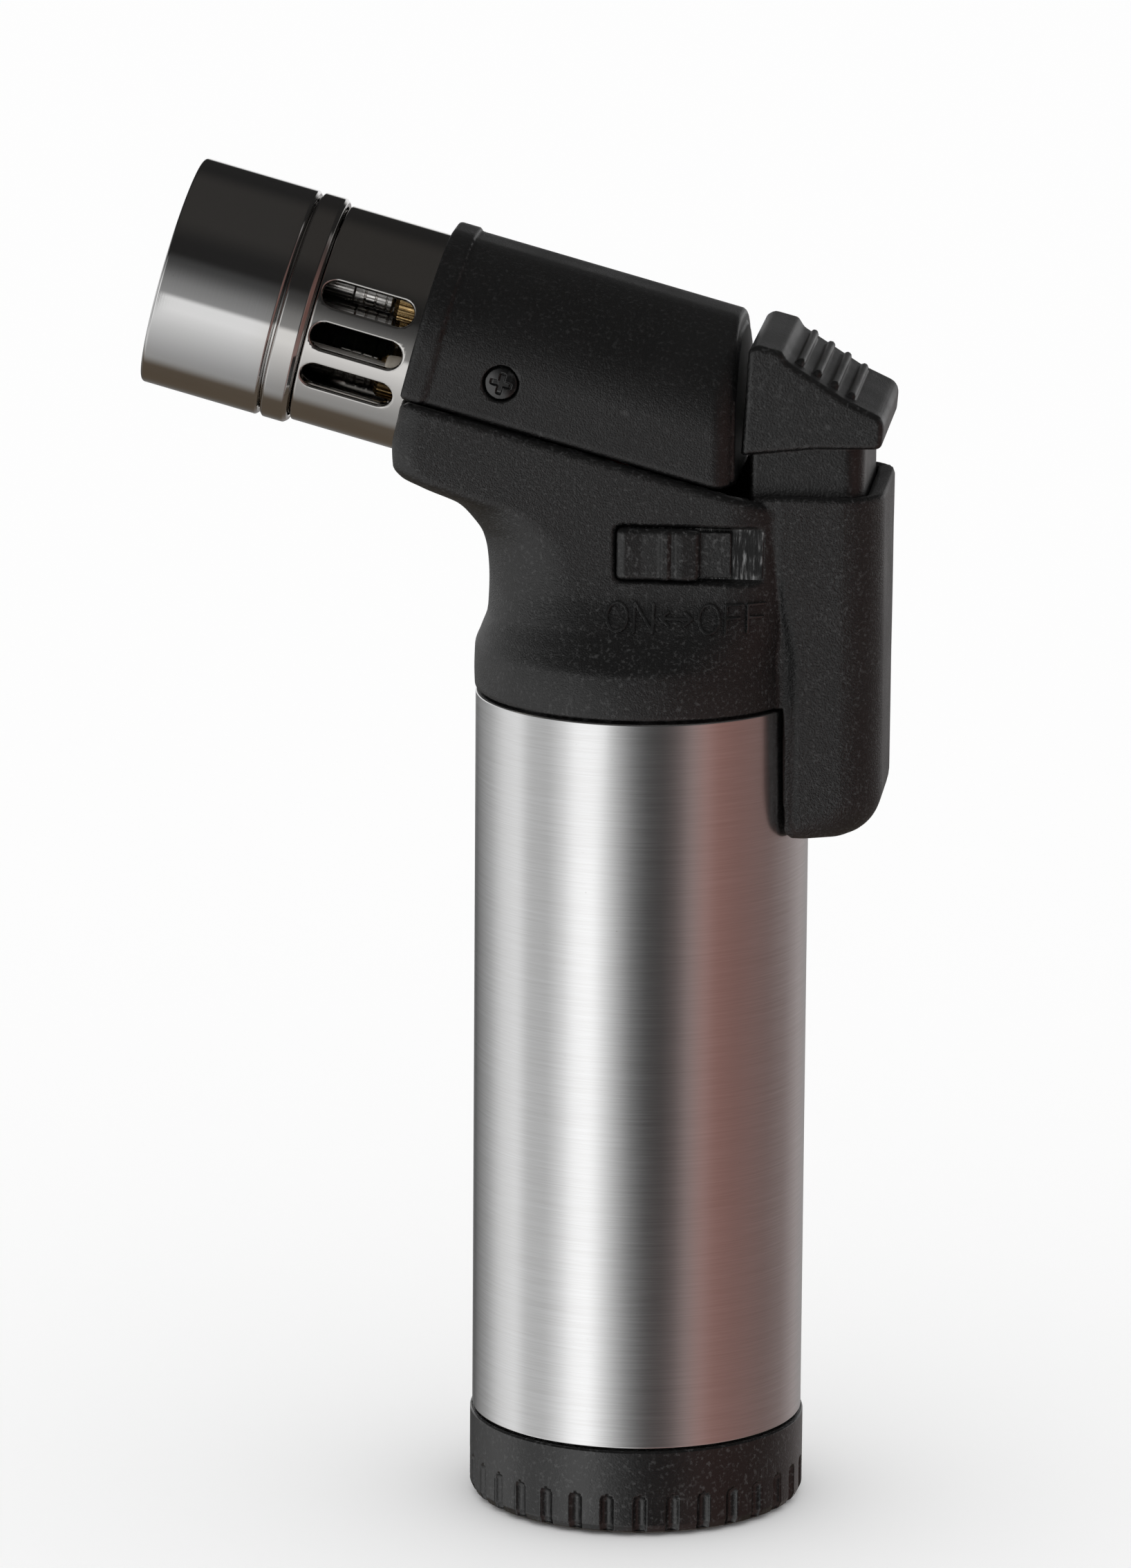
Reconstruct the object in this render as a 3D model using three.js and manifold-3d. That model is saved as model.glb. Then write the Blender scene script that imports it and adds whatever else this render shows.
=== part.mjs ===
// A pocket butane torch: a brushed tank on a notched flame dial, a moulded neck that also holds
// the igniter, a head cover over the burner mount, and a tilted chromed nozzle with three jets.
// Millimetres, +Z up. The nozzle points along -X. The group is moved at the end so that the
// origin is the centre of the footprint, on the surface that the torch stands on.
import * as THREE from 'three';
import { mergeVertices } from 'three/addons/utils/BufferGeometryUtils.js';
import Module from 'manifold-3d';

const wasm = await Module();
wasm.setup();

// Clearances
const gap = 0.3;
const slideGap = 0.35;

// Tank and its brushed sleeve
const sleeveRadius = 19;
const sleeveWall = 0.8;
const sleeveLength = 84.5;
const tankWall = 1.2;
const tankFloor = 2.4;

// Flame dial, base plate and regulator gears
const dialProud = 0.25;
const dialHeight = 9.8;
const dialLift = 0.25;
const dialRim = 1.1;
const notchCount = 32;
const notchWidth = 1.4;
const notchDepth = 0.45;
const notchBottom = 1;
const notchTop = 5.3;
const notchTurn = THREE.MathUtils.degToRad(7.2);
const plateThickness = 2.4;
const plateRim = 3.25;
const ringBacking = 1.6;
const ringTeeth = 36;
const pinionTeeth = 12;
const gearFace = 4.2;
const baseScrewCount = 3;
const baseScrewRadius = 0.8;

// Fill valve and gas valve
const valveRadius = 3.2;
const valveFlange = 4.8;
const valveStemRadius = 1.1;
const valveChamber = 2.2;
const washerThickness = 0.7;

// Neck moulding
const neckWall = 2.2;
const neckFloor = 2;
const collarProud = 0.2;
const throatDepth = 2;
const housingDepth = 9.3;
const housingDrop = 15.3;
const housingRise = 24.6;
const housingCorner = 5;
const housingLowerHalf = 10.4;
const housingUpperHalf = 12.3;
const housingWall = 1.6;

// Head cover, in the frame of the nozzle axis: s runs to the tip, m is square to it and up
const nozzleTilt = THREE.MathUtils.degToRad(15);
const nozzleRise = 32.2;
const headReach = 8.9;
const headTop = 13.6;
const neckSideCover = 1.32;
const coverSideCover = 1.07;
const coverWall = 1.7;
const coverCorner = 11.9;
const partingDrop = 4.3;
const coverStrip = 2.6;
const coverStripProud = 0.35;

// Nozzle
const ventRadius = 12.53;
const ventWall = 1.23;
const ventRearInset = 6.1;
const ventLength = 12.4;
const ringLength = 3.1;
const shroudLength = 13.7;
const shroudRadius = 13.13;
const slotLength = 10.6;
const slotWidth = 3.1;
const slotInset = 1;
const slotSpread = 23;
const slotCount = 3;
const mountLength = 8.2;
const mountSpigot = 4.9;
const jetCount = 3;
const jetCircle = 5.2;
const jetNutRadius = 2.4;
const jetNutLength = 5.1;
const jetTubeRadius = 1.85;
const jetTubeLength = 17.2;
const flamePlateThickness = 1.2;
const electrodeRadius = 0.4;
const insulatorRadius = 1.4;

// Button, igniter, lever and lock
const buttonTravel = 4.2;
const buttonHalf = 11.7;
const stemRearWall = 2.7;
const stemLength = 12.8;
const stemHalf = 10.35;
const stemDepth = 11;
const piezoHalf = 5.5;
const piezoHeight = 21.7;
const plungerLength = 12.5;
const lockTravel = 3.6;
const lockHeight = 5.8;
const lockKnobLength = 9.3;
const lockFlangeLength = 3.5;
const lockKeeperLength = 7.4;
const lockKeeperThickness = 1.1;
const screwHeadRadius = 2.05;

// Heights that follow from the sizes above
const dialTop = dialLift + dialHeight;
const gearBottom = plateThickness + gap;
const floorBottom = gearBottom + gearFace + gap;
const floorTop = floorBottom + tankFloor;
const sleeveBottom = dialTop + slideGap;
const sleeveTop = sleeveBottom + sleeveLength;
const neckBottom = sleeveTop + gap;
const neckInside = neckBottom + neckFloor;
const spigotBottom = neckBottom - 3.9;
const tankTop = spigotBottom - gap;
const nozzleHeight = neckBottom + nozzleRise;
const housingBottom = neckBottom - housingDrop;
const housingTop = neckBottom + housingRise;
const sleeveBore = sleeveRadius - sleeveWall;
const tankRadius = sleeveBore - gap;
const dialRadius = sleeveRadius + dialProud;
const dialFlat = dialRadius * Math.cos(Math.PI / notchCount);
const plateRadius = dialRadius - plateRim;
const ringPitch = plateRadius - ringBacking;
const gearModule = 2 * ringPitch / ringTeeth;
const pinionPitch = gearModule * pinionTeeth / 2;
const regulatorX = ringPitch - pinionPitch;
const collarRadius = sleeveRadius + collarProud;
const neckSide = ventRadius + neckSideCover;
const coverSide = ventRadius + coverSideCover;
const housingBack = sleeveRadius + housingDepth;
const stemBack = housingBack - stemRearWall;
const stemFront = stemBack - stemLength;
const coverRear = stemFront - 1.5;
const throat = collarRadius - throatDepth;
const headFront = throat + headReach;
const slotStart = headFront + slotInset;
const ventBore = ventRadius - ventWall;
const ringStart = headFront + ventLength;
const ringEnd = ringStart + ringLength;
const shroudStart = ringEnd + gap;
const shroudEnd = shroudStart + shroudLength;
const noseRadius = ventBore + 0.65;
const noseEnd = shroudStart + 2.3;
const ventRear = headFront - ventRearInset;
const mountRadius = neckSide - neckWall - gap;
const mountFront = ventRear - gap;
const mountRear = mountFront - mountLength;
const spigotEnd = mountFront + mountSpigot;
const coverScrewS = mountRear + mountLength / 2;
const coverScrewM = 0.7;
const stemBottom = housingTop + 5.4 - stemDepth;

// Finishes
const finish = (color, roughness, metalness) =>
  new THREE.MeshStandardMaterial({ color, roughness, metalness, flatShading: true });
const blackPlastic = finish(0x1b1b1c, 0.62, 0);
const glossPlastic = finish(0x141415, 0.3, 0);
const carrierPlastic = finish(0x2a2623, 0.7, 0);
const tankPlastic = finish(0xd9d6cc, 0.5, 0);
const brushedAluminium = finish(0xb9bbbd, 0.38, 1);
const darkChrome = finish(0x8e8b88, 0.12, 1);
const steel = finish(0xa7a8aa, 0.32, 1);
const brass = finish(0xb98d3c, 0.35, 1);
const ceramic = finish(0xded8cb, 0.6, 0);
const rubber = finish(0x161616, 0.85, 0);
const wireSheath = finish(0x7d1f1c, 0.5, 0);

// Shared corners merged, flat slivers dropped and faces turned outwards
function weld(geometry) {
  const bare = geometry.index ? geometry.toNonIndexed() : geometry.clone();
  bare.deleteAttribute('normal');
  bare.deleteAttribute('uv');
  const merged = mergeVertices(bare, 1e-4);
  const corners = merged.index.array;
  const place = merged.attributes.position;
  const kept = [];
  const a = new THREE.Vector3();
  const b = new THREE.Vector3();
  const c = new THREE.Vector3();
  let volume = 0;
  for (let i = 0; i < corners.length; i += 3) {
    const [p, q, r] = [corners[i], corners[i + 1], corners[i + 2]];
    if (p === q || q === r || r === p) continue;
    kept.push(p, q, r);
    a.fromBufferAttribute(place, p);
    b.fromBufferAttribute(place, q);
    c.fromBufferAttribute(place, r);
    volume += a.dot(b.cross(c)) / 6;
  }
  if (volume < 0) kept.reverse();
  merged.setIndex(kept);
  return merged;
}

function toSolid(geometry) {
  const shape = weld(geometry);
  return new wasm.Manifold(new wasm.Mesh({
    numProp: 3,
    vertProperties: new Float32Array(shape.attributes.position.array),
    triVerts: new Uint32Array(shape.index.array),
  }));
}

// One geometry from a base, what is added to it, what it is kept within and what is cut away
function carve(base, { add = [], within = [], cut = [] }) {
  let solid = toSolid(base);
  for (const geometry of add) solid = solid.add(toSolid(geometry));
  for (const geometry of within) solid = solid.intersect(toSolid(geometry));
  for (const geometry of cut) solid = solid.subtract(toSolid(geometry));
  const mesh = solid.getMesh();
  const result = new THREE.BufferGeometry();
  result.setAttribute('position', new THREE.BufferAttribute(mesh.vertProperties, 3));
  result.setIndex(new THREE.BufferAttribute(mesh.triVerts, 1));
  return result;
}

// Revolve about the z axis of a closed outline of [radius, height] corners
function revolve(outline, segments = 36) {
  const points = [...outline, outline[0]].map(([r, h]) => new THREE.Vector2(r, h));
  return new THREE.LatheGeometry(points, segments).rotateX(Math.PI / 2);
}

function rod(radius, bottom, top, segments = 20) {
  return revolve([[0, bottom], [radius, bottom], [radius, top], [0, top]], segments);
}

function tube(outer, inner, bottom, top, segments = 20) {
  return revolve([[inner, bottom], [outer, bottom], [outer, top], [inner, top]], segments);
}

// Points of an outline of [x, y, radius] corners, each rounded by an arc of its own radius
function rounded(corners, steps = 5) {
  const points = [];
  corners.forEach(([x, y, radius = 0], i) => {
    const corner = new THREE.Vector2(x, y);
    if (radius === 0) {
      points.push(corner);
      return;
    }
    const before = new THREE.Vector2(...corners.at(i - 1)).sub(corner).normalize();
    const after = new THREE.Vector2(...corners[(i + 1) % corners.length]).sub(corner).normalize();
    const half = Math.acos(THREE.MathUtils.clamp(before.dot(after), -1, 1)) / 2;
    const middle = before.clone().add(after).normalize().multiplyScalar(radius / Math.sin(half));
    const centre = corner.clone().add(middle);
    const start = corner.clone().addScaledVector(before, radius / Math.tan(half)).sub(centre);
    const sweep = (Math.PI - 2 * half) * Math.sign(before.cross(after)) * -1;
    for (let k = 0; k <= steps; k += 1) {
      points.push(start.clone().rotateAround(new THREE.Vector2(), sweep * k / steps).add(centre));
    }
  });
  return points;
}

// An outline drawn in x and y, given a height from bottom to top
function upright(points, bottom, top) {
  return new THREE.ExtrudeGeometry(new THREE.Shape(points), { depth: top - bottom, bevelEnabled: false })
    .translate(0, 0, bottom);
}

// An outline drawn in x and z, given a thickness along y
function sideways(points, yLow, yHigh) {
  return new THREE.ExtrudeGeometry(new THREE.Shape(points), { depth: yHigh - yLow, bevelEnabled: false })
    .rotateX(Math.PI / 2).translate(0, yHigh, 0);
}

// An outline drawn in y and z, given a length along x
function lengthways(points, xLow, xHigh) {
  const turn = new THREE.Matrix4().makeBasis(
    new THREE.Vector3(0, 1, 0), new THREE.Vector3(0, 0, 1), new THREE.Vector3(1, 0, 0));
  return new THREE.ExtrudeGeometry(new THREE.Shape(points), { depth: xHigh - xLow, bevelEnabled: false })
    .applyMatrix4(turn).translate(xLow, 0, 0);
}

function block(low, high) {
  const size = low.map((value, axis) => high[axis] - value);
  const middle = low.map((value, axis) => (high[axis] + value) / 2);
  return new THREE.BoxGeometry(...size).translate(...middle);
}

function roundSection(radius, sides) {
  return new THREE.Shape(Array.from({ length: sides }, (_, k) => new THREE.Vector2(
    radius * Math.cos(2 * Math.PI * k / sides), radius * Math.sin(2 * Math.PI * k / sides))));
}

// A round bar along a smooth path through the given places
function bar(places, radius, steps = 24, sides = 8) {
  const path = new THREE.CatmullRomCurve3(places.map((place) => new THREE.Vector3(...place)));
  return new THREE.ExtrudeGeometry(roundSection(radius, sides), {
    steps, extrudePath: path, bevelEnabled: false });
}

// An open coil spring as one wire along a helix
function coil(radius, wire, bottom, top, turns, centre = [0, 0]) {
  class Helix extends THREE.Curve {
    getPoint(t, target = new THREE.Vector3()) {
      const angle = 2 * Math.PI * turns * t;
      const rise = bottom + wire + (top - bottom - 2 * wire) * t;
      return target.set(centre[0] + radius * Math.cos(angle), centre[1] + radius * Math.sin(angle), rise);
    }
  }
  return new THREE.ExtrudeGeometry(roundSection(wire, 5), {
    steps: 6 * turns, extrudePath: new Helix(), bevelEnabled: false });
}

// A closed skin over sections that all have the same count of points, closed by flat ends
function loft(sections, plan = sections[0]) {
  const count = sections[0].length;
  const places = sections.flat();
  const faces = [];
  for (let row = 0; row < sections.length - 1; row += 1) {
    for (let k = 0; k < count; k += 1) {
      const [a, b] = [row * count + k, row * count + (k + 1) % count];
      faces.push(a, b, b + count, a, b + count, a + count);
    }
  }
  const last = places.length - count;
  const turn = Math.sign(THREE.ShapeUtils.area(plan));
  for (const triangle of THREE.ShapeUtils.triangulateShape(plan, [])) {
    const same = Math.sign(THREE.ShapeUtils.area(triangle.map((k) => plan[k]))) === turn;
    const [a, b, c] = same ? triangle : [...triangle].reverse();
    faces.push(a, c, b, last + a, last + b, last + c);
  }
  const geometry = new THREE.BufferGeometry();
  geometry.setFromPoints(places);
  geometry.setIndex(faces);
  return geometry;
}

// A side outline given a thickness along y, with its two rims rounded over by the edge radius
function cushioned(points, half, edge) {
  const inset = (depth) => points.map((point, i) => {
    const along = points[(i + 1) % points.length].clone().sub(points.at(i - 1)).normalize();
    return new THREE.Vector2(point.x - along.y * depth, point.y + along.x * depth);
  });
  const rim = [0, 1, 2].map((k) => k * Math.PI / 4);
  const layers = rim.map((angle) => [edge * (1 - Math.sin(angle)), half - edge * (1 - Math.cos(angle))]);
  const outward = layers.map(([depth, reach]) => [depth, -reach]);
  const inward = [...layers].reverse();
  return loft([...outward, ...inward].map(([depth, y]) => (
    inset(depth).map((point) => new THREE.Vector3(point.x, y, point.y)))), inset(edge));
}

// Scene graph: what stands on the tank axis, and what is built along the nozzle axis
const torch = new THREE.Group();
const nozzle = new THREE.Group();
nozzle.position.z = nozzleHeight;
nozzle.rotation.y = nozzleTilt - Math.PI / 2;
torch.add(nozzle);
nozzle.updateMatrix();

function piece(name, geometry, material, parent = torch) {
  const mesh = new THREE.Mesh(weld(geometry), material);
  mesh.name = name;
  parent.add(mesh);
  return mesh;
}

// A cutter or lump drawn along the nozzle axis, moved to where the nozzle is
const alongNozzle = (geometry) => geometry.applyMatrix4(nozzle.matrix);

// A point given by s, m and y on the nozzle axis, as x, y, z of the torch
const nozzlePoint = (s, m, y) => new THREE.Vector3(m, y, s).applyMatrix4(nozzle.matrix).toArray();

// Toothed outline of a gear
// Each tooth is a trapezium with its half widths given at the outer and the inner radius
function gearOutline(teeth, outer, inner, outerHalf, innerHalf) {
  const points = [];
  for (let tooth = 0; tooth < teeth; tooth += 1) {
    const middle = tooth * 2 * Math.PI / teeth;
    for (const [radius, offset] of [
      [inner, -innerHalf], [outer, -outerHalf], [outer, outerHalf], [inner, innerHalf]]) {
      const angle = middle + offset / radius;
      points.push(new THREE.Vector2(radius * Math.cos(angle), radius * Math.sin(angle)));
    }
  }
  return points;
}

// Half a tooth or space on the pitch circle, the play between teeth and the slope of a flank
const halfTooth = gearModule * Math.PI / 4;
const gearPlay = 0.13;
const toothHead = 0.5 * gearModule;
const ringDepth = 0.9 * gearModule;
const flankSlope = Math.tan(THREE.MathUtils.degToRad(22));

// Flame dial with its notched grip and its inner ring gear
function baseDial() {
  const bottom = dialLift;
  const rimInner = plateRadius + gap;
  const gearBack = ringPitch + ringBacking;
  const boreTop = tankRadius - 0.2;
  const body = revolve([
    [rimInner, bottom], [dialRadius - dialRim, bottom], [dialRadius - dialRim * 0.35, bottom + dialRim * 0.3],
    [dialRadius, bottom + dialRim], [dialRadius, dialTop - 0.2], [dialRadius - 0.2, dialTop],
    [boreTop, dialTop], [boreTop, gearBottom + gearFace], [gearBack, gearBottom + gearFace],
    [gearBack, gearBottom], [rimInner, gearBottom]], notchCount)
    .rotateZ(notchTurn + Math.PI / notchCount);
  const ringShape = new THREE.Shape();
  ringShape.absarc(0, 0, gearBack + 0.4, 0, 2 * Math.PI);
  ringShape.holes.push(new THREE.Path(gearOutline(
    ringTeeth, ringPitch + ringDepth, ringPitch - toothHead,
    halfTooth + gearPlay - flankSlope * ringDepth, halfTooth + gearPlay + flankSlope * toothHead)));
  const teeth = new THREE.ExtrudeGeometry(ringShape, {
    depth: gearFace, bevelEnabled: false, curveSegments: 12 }).translate(0, 0, gearBottom);
  const notch = rounded([
    [-notchWidth / 2, notchBottom], [notchWidth / 2, notchBottom],
    [notchWidth / 2, notchTop, notchWidth * 0.45], [-notchWidth / 2, notchTop, notchWidth * 0.45]], 1);
  const notches = Array.from({ length: notchCount }, (_, k) => sideways(
    notch, dialFlat - notchDepth, dialRadius + 1).rotateZ(notchTurn + k * 2 * Math.PI / notchCount));
  return carve(body, { add: [teeth], cut: notches });
}

// Where the base screws stand, clear of the regulator
const baseScrewPlaces = Array.from({ length: baseScrewCount }, (_, k) => {
  const angle = (2 * k + 1) * Math.PI / baseScrewCount;
  return [regulatorX * Math.cos(angle), regulatorX * Math.sin(angle)];
});

function basePlate() {
  const plate = revolve([
    [valveRadius + 0.5, 0], [plateRadius - 0.4, 0], [plateRadius, 0.4], [plateRadius, plateThickness],
    [valveRadius + 0.5, plateThickness]], 24);
  const pivot = rod(1.5, plateThickness - 0.5, gearBottom, 12).translate(regulatorX, 0, 0);
  const holes = baseScrewPlaces.flatMap(([x, y]) => [
    rod(baseScrewRadius + gap, -1, plateThickness + 1, 12).translate(x, y, 0),
    rod(baseScrewRadius + 1.3, -1, 1.2, 12).translate(x, y, 0)]);
  return carve(plate, { add: [pivot], cut: holes });
}

function baseScrew([x, y]) {
  return revolve([
    [0, 0.25], [baseScrewRadius + 0.7, 0.25], [baseScrewRadius + 1, 0.5], [baseScrewRadius + 1, 0.9],
    [baseScrewRadius, 0.9], [baseScrewRadius, floorBottom + 0.6], [0, floorBottom + 0.6]], 12)
    .translate(x, y, 0);
}

// Regulator: a small gear on a spindle that turns in a brass body in the tank floor
const regulatorSpindle = 1;
const regulatorBodyRadius = 2.6;
const regulatorFlange = regulatorX - valveFlange - 1;
const regulatorTop = floorTop + 10.6;

function regulatorGear() {
  const outline = gearOutline(
    pinionTeeth, pinionPitch + toothHead, pinionPitch - ringDepth,
    halfTooth - gearPlay - flankSlope * toothHead, halfTooth - gearPlay + flankSlope * ringDepth);
  const gear = upright(outline, gearBottom + gap, gearBottom + gearFace - gap);
  const spindle = rod(regulatorSpindle, gearBottom + 1, floorTop + 2, 12);
  return carve(gear, { add: [spindle] }).translate(regulatorX, 0, 0);
}

function regulatorBody() {
  const bore = regulatorSpindle + gap;
  const flange = floorTop + gap;
  return revolve([
    [bore, floorBottom + gap], [regulatorBodyRadius, floorBottom + gap], [regulatorBodyRadius, flange],
    [regulatorFlange, flange], [regulatorFlange, flange + 1.6],
    [regulatorBodyRadius, flange + 1.6], [regulatorBodyRadius, regulatorTop - 2], [1.2, regulatorTop],
    [0, regulatorTop], [0, floorTop + 2 + gap], [bore, floorTop + 2 + gap]], 12)
    .translate(regulatorX, 0, 0);
}

// Poppet valve: a brass body that holds a sprung stem with a collar, all on the z axis
const collarHeight = 1;

function valveBody({ bottom, flange, chamber, chamberTop, top }) {
  const bore = valveStemRadius + slideGap;
  return revolve([
    [bore, bottom], [valveRadius, bottom], [valveRadius, flange], [valveFlange, flange],
    [valveFlange, flange + 1.5], [valveRadius, flange + 1.5], [valveRadius, top], [bore, top],
    [bore, chamberTop], [valveChamber, chamberTop], [valveChamber, chamber], [bore, chamber]], 16);
}

function valveStem({ stemLow, stemHigh, chamber }) {
  const collar = valveChamber - gap;
  const seat = chamber + gap;
  return [
    [0, stemLow], [valveStemRadius, stemLow], [valveStemRadius, seat], [collar, seat],
    [collar, seat + collarHeight], [valveStemRadius, seat + collarHeight], [valveStemRadius, stemHigh],
    [0, stemHigh]];
}

function valveSpring({ chamber, chamberTop }) {
  const wire = 0.22;
  const mean = (valveStemRadius + valveChamber) / 2;
  return coil(mean, wire, chamber + collarHeight + 2 * gap, chamberTop - gap, 3);
}

// Length of a valve's chamber, the end wall under it and how far its stem stands in from the mouth
const chamberLength = 8;
const chamberEnd = 1;
const stemSunk = 0.5;
const flangeLift = washerThickness + 2 * gap;
const fillMouth = plateThickness / 2;
const fillValve = {
  bottom: fillMouth, flange: floorTop + flangeLift, chamber: floorBottom + chamberEnd,
  chamberTop: floorBottom + chamberEnd + chamberLength, top: floorBottom + chamberLength + 2 * chamberEnd,
  stemLow: fillMouth + stemSunk, stemHigh: floorBottom + chamberLength,
};
const gasChamber = tankTop - chamberLength - 0.6;
const gasValve = {
  bottom: gasChamber - 1.4, flange: tankTop + flangeLift, chamber: gasChamber,
  chamberTop: gasChamber + chamberLength, top: neckInside + 4,
  stemLow: gasChamber - gap, stemHigh: neckInside + 8.4,
};

function washer(flangeSeat) {
  return tube(valveFlange + 0.4, valveRadius + gap, flangeSeat - gap - washerThickness, flangeSeat - gap, 16);
}

// Gas valve body with the side barb that the gas tube meets
const barbHeight = neckInside + 2.95;
const barbEnd = -(valveRadius + 3);

function gasValveBody() {
  const barb = rod(0.8, valveRadius - 0.8, -barbEnd, 12).rotateY(-Math.PI / 2).translate(0, 0, barbHeight);
  return carve(valveBody(gasValve), { add: [barb] });
}

function gasValveStem() {
  const outline = valveStem(gasValve);
  const cap = gasValve.stemHigh;
  outline.splice(-2, 2, [valveStemRadius, cap - 1.2], [2.2, cap - 1.2], [2.2, cap], [0, cap]);
  return revolve(outline, 16);
}

// Nut that clamps the neck to the tank by the gas valve body
const nutAcross = valveRadius + 1.8;
const nutHeight = 1.5;

function gasValveNut() {
  const hexagon = Array.from({ length: 6 }, (_, k) => new THREE.Vector2(
    nutAcross * Math.cos(k * Math.PI / 3), nutAcross * Math.sin(k * Math.PI / 3)));
  const low = neckInside + gap;
  const bore = rod(valveRadius + gap, low - 1, low + nutHeight + 1);
  return carve(upright(hexagon, low, low + nutHeight), { cut: [bore] });
}

// Tank: an inner cup with a floor that takes the valves and a top that takes the gas valve
function fuelTank() {
  const hole = valveRadius + gap;
  const shell = revolve([
    [hole, floorBottom], [tankRadius - 0.6, floorBottom], [tankRadius - 0.6, sleeveBottom],
    [tankRadius, sleeveBottom], [tankRadius, tankTop], [hole, tankTop], [hole, tankTop - tankFloor],
    [tankRadius - tankWall, tankTop - tankFloor], [tankRadius - tankWall, floorTop], [hole, floorTop]], 24);
  const bosses = baseScrewPlaces.map(([x, y]) => (
    rod(baseScrewRadius + 1.3, plateThickness + gap, floorBottom + 0.5, 12).translate(x, y, 0)));
  const bores = baseScrewPlaces.map(([x, y]) => (
    rod(baseScrewRadius + gap, plateThickness, floorBottom + 1, 12).translate(x, y, 0)));
  const regulatorHole = rod(regulatorBodyRadius + gap, floorBottom - 1, floorTop + 1, 16)
    .translate(regulatorX, 0, 0);
  return carve(shell, { add: bosses, cut: [...bores, regulatorHole] });
}

function tankSleeve() {
  const edge = 0.25;
  return revolve([
    [sleeveBore, sleeveBottom], [sleeveRadius - edge, sleeveBottom], [sleeveRadius, sleeveBottom + edge],
    [sleeveRadius, sleeveTop - edge], [sleeveRadius - edge, sleeveTop], [sleeveBore, sleeveTop]], 48);
}

function feedTube() {
  const start = regulatorTop + gap;
  const end = gasValve.bottom - gap;
  return bar([
    [regulatorX, 0, start], [regulatorX, 0, start + 12], [regulatorX, 0, (start + end) / 2],
    [regulatorX * 0.8, 0, end - 18], [0, 0, end - 5], [0, 0, end]], 1.1, 12, 6);
}

// Neck sections. Each station gives the height over the neck's bottom, the reach to the front
// and rear, the half width, and the plan radius of the front and rear corners.
const neckRear = collarRadius - 0.8;
const roundStation = (height, radius, side = radius) => [height, radius, radius, side, side, side];
const neckStations = [
  roundStation(0, collarRadius - 0.1),
  roundStation(2.4, collarRadius),
  roundStation(4.8, collarRadius - 0.1, collarRadius - 0.2),
  [7, throat + 1.1, neckRear + 0.2, collarRadius - 2, 16, 15],
  [9.6, throat + 0.2, neckRear, collarRadius - 3.9, 13, 11],
  [13.4, throat, neckRear, neckSide + 0.15, 11, 8.5],
  [16.4, throat + 0.2, neckRear, neckSide, 10.6, 8],
  [18.4, throat + 0.7, neckRear, neckSide, 10.4, 8],
  [20.4, throat + 2, neckRear, neckSide, 10, 8],
  [22.1, throat + 3.7, neckRear, neckSide, 9.6, 8],
  [24.3, throat + 8, neckRear, neckSide, 7.4, 8],
  [25.5, throat + 9.7, neckRear, neckSide, 5, 8],
  [26.9, throat + 10.4, neckRear, neckSide, 3.4, 8],
  [29, throat + 10.45, neckRear, neckSide, 3, 8],
  [32, throat + 9.8, neckRear, neckSide, 3, 8],
  [36, throat + 9, neckRear, neckSide, 3, 8],
];

// A plan section of the neck: a rectangle with large corners, drawn in by the inset
function neckSection([height, front, rear, side, frontRound, rearRound], inset, steps) {
  const corners = [
    [rear - inset, side - inset, rearRound - inset], [inset - front, side - inset, frontRound - inset],
    [inset - front, inset - side, frontRound - inset], [rear - inset, inset - side, rearRound - inset]];
  const least = 0.4;
  const limit = Math.min(side - inset, (front + rear) / 2 - inset) - 0.01;
  const plan = rounded(corners.map(([x, y, radius]) => (
    [x, y, THREE.MathUtils.clamp(radius, least, limit)])), steps);
  return plan.map(({ x, y }) => new THREE.Vector3(x, y, neckBottom + height));
}

function neckSkin(inset, from, to, slices) {
  const shape = new THREE.CatmullRomCurve3(neckStations.map((s) => new THREE.Vector3(s[0], s[1], s[2])));
  const plan = new THREE.CatmullRomCurve3(neckStations.map((s) => new THREE.Vector3(s[3], s[4], s[5])));
  const sections = [];
  for (let k = 0; k <= slices; k += 1) {
    const t = from + (to - from) * k / slices;
    const [a, b] = [shape.getPoint(t), plan.getPoint(t)];
    sections.push(neckSection([a.x, a.y, a.z, b.x, b.y, b.z], inset, inset ? 3 : 5));
  }
  return loft(sections);
}

// Igniter housing at the back of the neck, wider towards its top. Its raised side pads start
// behind a lower band, and their front edge leans forward in the upper half.
const housingFront = housingBack - 16.3;
const housingBand = 0.9;
const padLowFront = housingBack - 10.8;
const padHighFront = housingBack - 13.4;
const housingFoot = 6.4;
const housingFlank = 9;

function housingSection(height) {
  const lean = (height - housingBottom) / (housingTop - housingBottom);
  const half = THREE.MathUtils.lerp(housingLowerHalf, housingUpperHalf, Math.max(0, lean ** 1.5));
  const padFront = THREE.MathUtils.lerp(padLowFront, padHighFront, THREE.MathUtils.clamp(1.9 * lean - 0.9, 0, 1));
  const low = half - housingBand;
  const plan = rounded([
    [housingFront, low], [padFront - 1.1, low], [padFront, half, 0.5],
    [housingBack, half, housingCorner], [housingBack, -half, housingCorner],
    [padFront, -half, 0.5], [padFront - 1.1, -low], [housingFront, -low]], 3);
  return plan.map(({ x, y }) => new THREE.Vector3(x, y, height));
}

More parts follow.
